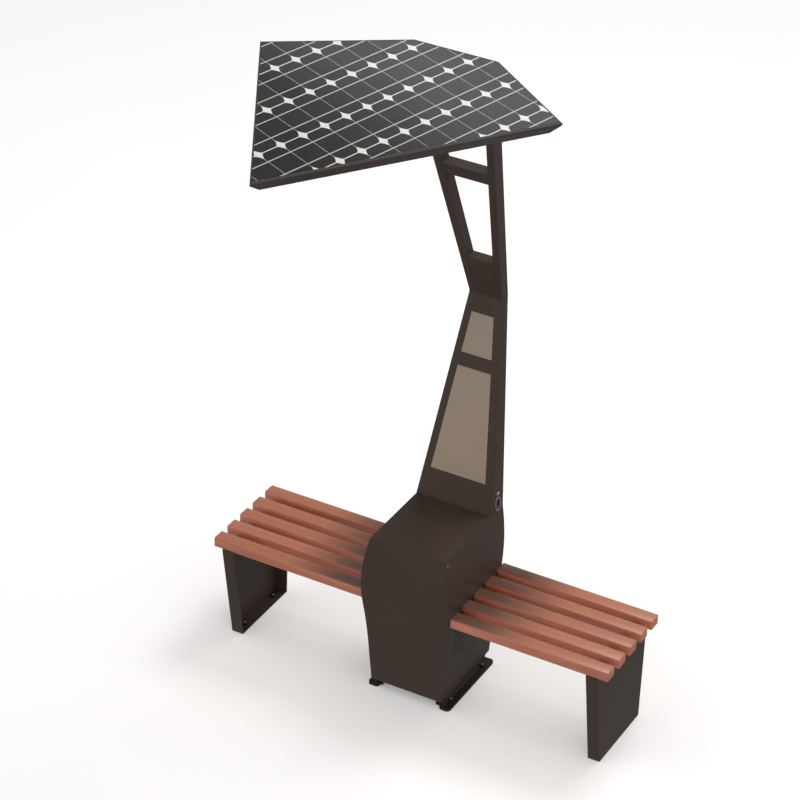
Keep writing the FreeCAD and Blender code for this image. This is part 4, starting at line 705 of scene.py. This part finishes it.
def makeFixings(look):
    (lowY, lowZ), (topY, topZ) = look["backKnee"], look["backTop"]
    backward = (0, 1, 0)
    spots = []
    for high in look["backHeights"]:
        x = sideHalf(high) - look["backInsetMm"] * mm
        y = lowY + (topY - lowY) * (high - lowZ) / (topZ - lowZ)
        spots += [(sign * x, y, high) for sign in (-1, 1)]
    lean = (0, topZ - lowZ, lowY - topY)
    addDomes("back_cover_screws", spots, lean, look["screwMm"], "blackOxide")
    spots = [(sign * look["frameX"], look["frameY"], high)
             for high in look["frameHeights"] for sign in (-1, 1)]
    addDomes("rear_frame_screws", spots, backward, look["screwMm"], "blackOxide")
    for body, sign in (("bench", -1), ("service_door", 1)):
        x = look["hingeX"] + sign * look["hingeAcrossMm"] * mm
        spots = [(x, look["hingeY"], high) for high in look["hingeHeights"]]
        addDomes(f"hinge_screws_{body}", spots, backward, look["hingeScrewMm"], "zincPlate",
                 body)
    for name, sign in (("right", 1), ("left", -1)):
        spot, normal = (look[key] * np.array([sign, 1, 1]) for key in ("sideRivet", "sideNormal"))
        addDomes(f"side_rivet_{name}", [spot], normal, look["sideRivetMm"], "zincPlate")
    corners = canopyCorners()
    spots = []
    for here, there in zip(corners, np.roll(corners, -1, axis=0)):
        length = np.linalg.norm(there - here)
        run = (there - here) / length
        inward = np.array([-run[1], run[0]])
        count = max(2, int(length / look["trayPitch"]))
        for share in (np.arange(count) + 0.5) / count:
            reach = look["trayEnd"] + (length - 2 * look["trayEnd"]) * share
            flat = here + run * reach + inward * look["trayInsetMm"] * mm
            spots.append(toCanopy(flat, -look["trayDeep"]).tolist())
    tilt = math.radians(canopy["tilt"])
    down = (0, -math.sin(tilt), -math.cos(tilt))
    addDomes("tray_rivets", spots, down, look["rivetMm"], "trayCoat")


makeFixings(fixings)

welds = {
    "radiusMm": 2.6, "rippleMm": 0.3, "pitchMm": 4.5, "stepMm": 1.1, "sides": 10,
    "taperMm": 3.0, "endShare": 0.15,   # a bead thins out over its last stretch, to this share of its section
    # the plinth's foot, then the foot and the top of the end leg's two side folds
    "lines": [((0.141, -0.165, 0.010), (0.141, 0.153, 0.010)),
              ((0.728, -0.151, 0.004), (0.766, -0.151, 0.004)),
              ((0.728, 0.164, 0.004), (0.766, 0.164, 0.004)),
              ((0.728, -0.221, 0.408), (0.766, -0.221, 0.408)),
              ((0.728, 0.1715, 0.408), (0.766, 0.1715, 0.408))],
}


def makeWelds(look):
    # A bead of small ripples where two sheets meet at an angle, on the right and mirrored on the left
    rings = []
    for line in look["lines"]:
        for sign in (1, -1):
            start, end = np.array(line) * [sign, 1, 1]
            length = np.linalg.norm(end - start)
            share = np.linspace(0, 1, int(length / (look["stepMm"] * mm)))
            ripple = look["rippleMm"] * np.sin(share * length / (look["pitchMm"] * mm) * 2 * math.pi)
            fromEnd = np.minimum(share, 1 - share) * length / (look["taperMm"] * mm)
            radius = (look["radiusMm"] + ripple) * mm * np.sqrt(np.clip(fromEnd, look["endShare"], 1))
            path = start + (end - start) * share[:, None]
            rings.append(sweptRings(path, radius, look["sides"], (0, 0, 1)))
    mesh = joinedTubes("weld_beads", rings)
    shadeByAngle(mesh, 60)
    placePiece(mesh, "weld_beads", "bench", "powderCoat")


makeWelds(welds)
print("screws, rivets and welds placed")


# Fittings inside the cabinet and in the sockets

inside = {
    "leadMm": 2.4, "leadSteps": 10, "leadSides": 12,
    # from the charge controller to the switch, twice to the converter and once to the fuses; then from the
    # converter to each port
    "leads": [
        ("redSheath", [(-0.040, 0.044, 0.471), (-0.042, 0.048, 0.452), (-0.078, 0.050, 0.436),
                       (-0.084, 0.046, 0.402)]),
        ("cableSheath", [(-0.022, 0.044, 0.471), (-0.022, 0.052, 0.450), (-0.026, 0.050, 0.428),
                         (-0.026, 0.040, 0.408)]),
        ("redSheath", [(0.016, 0.044, 0.471), (0.016, 0.052, 0.450), (0.018, 0.050, 0.428),
                       (0.018, 0.040, 0.408)]),
        ("cableSheath", [(0.040, 0.044, 0.471), (0.042, 0.048, 0.458), (0.078, 0.044, 0.455),
                         (0.082, 0.036, 0.440)]),
        ("cableSheath", [(0.036, 0.040, 0.408), (0.050, 0.040, 0.440), (0.074, 0.032, 0.490),
                         (0.076, 0.030, 0.600), (0.084, 0.060, 0.648), (0.088, 0.130, 0.658),
                         (0.091, 0.164, 0.684), (0.102, 0.174, 0.703)]),
        ("cableSheath", [(-0.036, 0.040, 0.408), (-0.052, 0.040, 0.440), (-0.074, 0.032, 0.490),
                         (-0.076, 0.030, 0.600), (-0.084, 0.060, 0.648), (-0.088, 0.130, 0.658),
                         (-0.091, 0.164, 0.684), (-0.102, 0.174, 0.703)]),
    ],
    "batteryTop": 0.255, "capMm": (11.0, 3.5), "capX": (-0.04, 0.0, 0.04), "capY": (-0.15, 0.01),
    # hoops: inner and outer radius, then the heights they span
    "posts": [(-0.055, 0.056), (0.055, 0.056)], "clampMm": (8.1, 13.0, 1.0, 9.0),
    "dial": (-0.084, 0.057, 0.374), "dialMm": (18.6, 25.0, 0.0, 0.6),
    "grommet": (0.0, 0.108, 0.0465), "grommetMm": (15.5, 23.5, -2.0, 2.0),
    "tongueX": (0.1234, 0.1306), "tongueY": 0.178, "tongueHalf": 0.0056, "tongueZ": (0.6975, 0.7155),
    "tongueMm": 1.8,
    # contacts under each tongue: how far they stay from its root and its tip, and the heights that they span
    # from its underside
    "contacts": 4, "contactPitchMm": 2.4, "contactHalfMm": 0.6, "contactInMm": (1.0, 0.6),
    "contactUpMm": (-0.15, 0.1),
}


def addHoop(name, places, normal, sizes, finish, easeMm=0.4, sides=40):
    # A flat ring from an inner to an outer radius, with its outer edges eased
    inner, outer, low, high = (v * mm for v in sizes)
    ease = min(easeMm * mm, (high - low) / 3)
    profile = [(inner, low), (outer, low), (outer, high - ease), (outer - ease, high), (inner + ease, high),
               (inner, high - ease), (inner, low)]
    mesh = joinedTubes(name, [turnedRings(spot, normal, profile, sides) for spot in places], capped=False)
    shadeByAngle(mesh, 40)
    placePiece(mesh, name, "bench", finish)


def blockRings(low, high):
    # A block as two rings of four corners
    (x0, y0, z0), (x1, y1, z1) = low, high
    ring = np.array([(x0, y0, z0), (x0, y1, z0), (x0, y1, z1), (x0, y0, z1)], float)
    return np.stack([ring, ring + [x1 - x0, 0, 0]])


def makeInside(look):
    backward, upward, beside = (0, 1, 0), (0, 0, 1), (0.6, 0.2, 0.1)
    for finish in ("redSheath", "cableSheath"):
        rings = [sweptRings(smoothPath(corners, look["leadSteps"]), look["leadMm"] * mm, look["leadSides"],
                            beside) for sheath, corners in look["leads"] if sheath == finish]
        mesh = joinedTubes("leads_" + finish, rings)
        shadeByAngle(mesh, 60)
        placePiece(mesh, "leads_" + finish, "bench", finish)
    spots = [(x, y, look["batteryTop"]) for y in look["capY"] for x in look["capX"]]
    addDomes("battery_caps", spots, upward, look["capMm"], "blackAbs", sides=24)
    spots = [(x, y, look["batteryTop"]) for x, y in look["posts"]]
    addHoop("battery_clamps", spots, upward, look["clampMm"], "castLead")
    addHoop("switch_dial", [look["dial"]], backward, look["dialMm"], "yellowAbs")
    addHoop("entry_grommet", [look["grommet"]], upward, look["grommetMm"], "cableSheath")
    tongues, contacts = [], []
    x0, x1 = look["tongueX"]
    fromRoot, fromTip = (v * mm for v in look["contactInMm"])
    under, over = (v * mm for v in look["contactUpMm"])
    half = look["contactHalfMm"] * mm
    aside = (np.arange(look["contacts"]) - (look["contacts"] - 1) / 2) * look["contactPitchMm"] * mm
    for sign in (1, -1):
        for high in look["tongueZ"]:
            tongues.append(blockRings(
                (sign * x0, look["tongueY"] - look["tongueHalf"], high),
                (sign * x1, look["tongueY"] + look["tongueHalf"], high + look["tongueMm"] * mm)))
            for y in aside + look["tongueY"]:
                contacts.append(blockRings((sign * (x0 + fromRoot), y - half, high + under),
                                           (sign * (x1 - fromTip), y + half, high + over)))
    for name, rings, finish in (("usb_tongues", tongues, "solderMask"),
                                ("usb_contacts", contacts, "goldFlash")):
        placePiece(joinedTubes(name, rings), name, "bench", finish)


makeInside(inside)
print("cabinet fitted out")


# Materials of the pieces that keep their own mesh

kept = {
    "blackOxide": ["frame_bolts"],
    "zincPlate": ["slat_bolts", "hinge_frame_leaves", "hinge_door_leaves", "hinge_pins",
                  "lock_housing", "lock_plug"],
    "shadedUndercoat": ["cabinet_floor"],
    "trayCoat": ["canopy_ribs"],
    "edgeSeal": ["pv_laminate"],
    "solderMask": ["led_boards"],
    "galvanised": ["battery_tray", "battery_strap", "equipment_plate"],
    "blackAbs": ["battery", "fuse_block", "isolator_body", "junction_box"],
    "paintedLightAbs": ["usb_sockets"],
    "redNylon": ["isolator_knob"],
    "cableSheath": ["battery_cables"],
    "blackAnodised": ["charge_controller", "usb_converter"],
    "frostedLens": ["port_lenses"],
}
for finish, names in kept.items():
    for name in names:
        mesh = cadNodes[name].data
        mesh.materials.clear()
        mesh.materials.append(materials[finish])


# Stage, light and camera

stage = {
    "floor": "#dddbda", "floorPatch": "#e1dfde", "patchesPerMetre": 0.6, "floorRadius": 30.0,
    "floorRoughness": 0.9, "floorGloss": 0.1,
    "floorGlowTint": "#fffcf9", "floorGlow": 0.2,   # a little glow keeps the shadows on the floor faint
    "sky": "#ffffff", "skyHorizon": 1.15, "skyTop": 0.45, "skyBelow": 0.3, "skyEdge": (-0.05, 0.03),
    "frontGain": 1.65, "backGain": 0.8,
    # a dark flag in the sky, behind the bench on its left, shades what the cells mirror. Its soft edge
    # slants: it runs along a weighted sum of the turn to the left and the height; angles in degrees
    "flagWeights": (0.436, 0.9), "flagEdge": (28.2, 30.4), "flagEnd": (62.0, 75.0), "flagTop": (50.0, 62.0),
    "flagShade": 0.96,
    "key": (0.9, 3.0, 6.0), "keyTarget": (0.0, 0.0, 0.5), "keySize": (2.6, 2.6), "keyPower": 190.0,
}


def makeStage(look):
    shape = bmesh.new()
    bmesh.ops.create_circle(shape, cap_ends=True, segments=96, radius=look["floorRadius"])
    mesh = bpy.data.meshes.new("studio_floor")
    shape.to_mesh(mesh)
    shape.free()
    floor = bpy.data.objects.new("studio_floor", mesh)
    bpy.context.scene.collection.objects.link(floor)
    material, tree = newMaterial("pale_studio_floor")
    place = addNode(tree, "TexCoord").outputs["Object"]
    patches = noise(tree, place, look["patchesPerMetre"], 2.0)
    finishShader(tree, {
        "Base Color": twoTone(tree, patches, look["floor"], look["floorPatch"]),
        "Roughness": look["floorRoughness"], "Specular IOR Level": look["floorGloss"],
        "Emission Color": toLinear(look["floorGlowTint"]), "Emission Strength": look["floorGlow"]})
    mesh.materials.append(material)
    # the bench doesn't mirror the floor and isn't lit by it from below
    floor.visible_glossy = False
    floor.visible_diffuse = False


def makeSky(look):
    # A white sky, brighter near the horizon and before the bench, with one soft-edged dark patch
    world = bpy.data.worlds.new("studio_sky")
    bpy.context.scene.world = world
    world.use_nodes = True
    tree = world.node_tree
    tree.nodes.clear()
    heading = addNode(tree, "SeparateXYZ", {"Vector": addNode(tree, "TexCoord").outputs["Generated"]}).outputs
    leftward = combine(tree, "MULTIPLY", heading["X"], -1.0)
    turn = combine(tree, "ARCTAN2", leftward, heading["Y"])
    lift = combine(tree, "ARCSINE", heading["Z"])
    aside = combine(tree, "MULTIPLY", turn, look["flagWeights"][0])
    slant = combine(tree, "MULTIPLY_ADD", lift, look["flagWeights"][1], aside)
    mask = 1.0
    for angle, key, first in ((slant, "flagEdge", 0.0), (turn, "flagEnd", 1.0), (lift, "flagTop", 1.0)):
        edge = spread(tree, angle, first, 1 - first, *(math.radians(at) for at in look[key]),
                      interpolation_type="SMOOTHSTEP")
        mask = combine(tree, "MULTIPLY", mask, edge)
    strength = spread(tree, lift, look["skyHorizon"], look["skyTop"], 0.0, math.pi / 2)
    for factor in (spread(tree, mask, 1.0, 1 - look["flagShade"]),
                   spread(tree, lift, look["skyBelow"] / look["skyHorizon"], 1.0, *look["skyEdge"]),
                   spread(tree, heading["Y"], look["frontGain"], look["backGain"], -1.0, 1.0)):
        strength = combine(tree, "MULTIPLY", strength, factor)
    back = addNode(tree, "Background", {"Color": toLinear(look["sky"]), "Strength": strength})
    addNode(tree, "OutputWorld", {"Surface": back.outputs["Background"]})


def makeKey(look):
    # One large soft light, high behind the bench
    data = bpy.data.lights.new("key_softbox", "AREA")
    data.shape = "RECTANGLE"
    data.size, data.size_y = look["keySize"]
    data.energy = look["keyPower"]
    light = bpy.data.objects.new("key_softbox", data)
    bpy.context.scene.collection.objects.link(light)
    light.location = look["key"]
    light.rotation_mode = "QUATERNION"
    light.rotation_quaternion = (Vector(look["keyTarget"]) - Vector(look["key"])).to_track_quat("-Z", "Y")


cameraLook = {"place": (4.3421, -8.4569, 7.1114), "azimuth": 28.073, "elevation": 31.933, "roll": 1.846,
              "lens": 143.46, "sensor": 36.0, "clipEnd": 100.0}   # angles in degrees, lens and sensor in mm


def makeCamera(look):
    data = bpy.data.cameras.new("photo_camera")
    data.lens, data.sensor_width, data.clip_end = look["lens"], look["sensor"], look["clipEnd"]
    camera = bpy.data.objects.new("photo_camera", data)
    bpy.context.scene.collection.objects.link(camera)
    azimuth, elevation, roll = (math.radians(look[key]) for key in ("azimuth", "elevation", "roll"))
    forward = Vector((-math.sin(azimuth) * math.cos(elevation), math.cos(azimuth) * math.cos(elevation),
                      -math.sin(elevation)))
    level = forward.cross(Vector((0, 0, 1))).normalized()
    upright = level.cross(forward)
    right = level * math.cos(roll) + upright * math.sin(roll)
    up = upright * math.cos(roll) - level * math.sin(roll)
    turn = Matrix((right, up, -forward)).transposed()
    camera.matrix_world = Matrix.Translation(look["place"]) @ turn.to_4x4()
    bpy.context.scene.camera = camera


makeStage(stage)
makeSky(stage)
bpy.context.scene.view_settings.view_transform = "Standard"
makeKey(stage)
makeCamera(cameraLook)
print("stage, lights and camera ready")
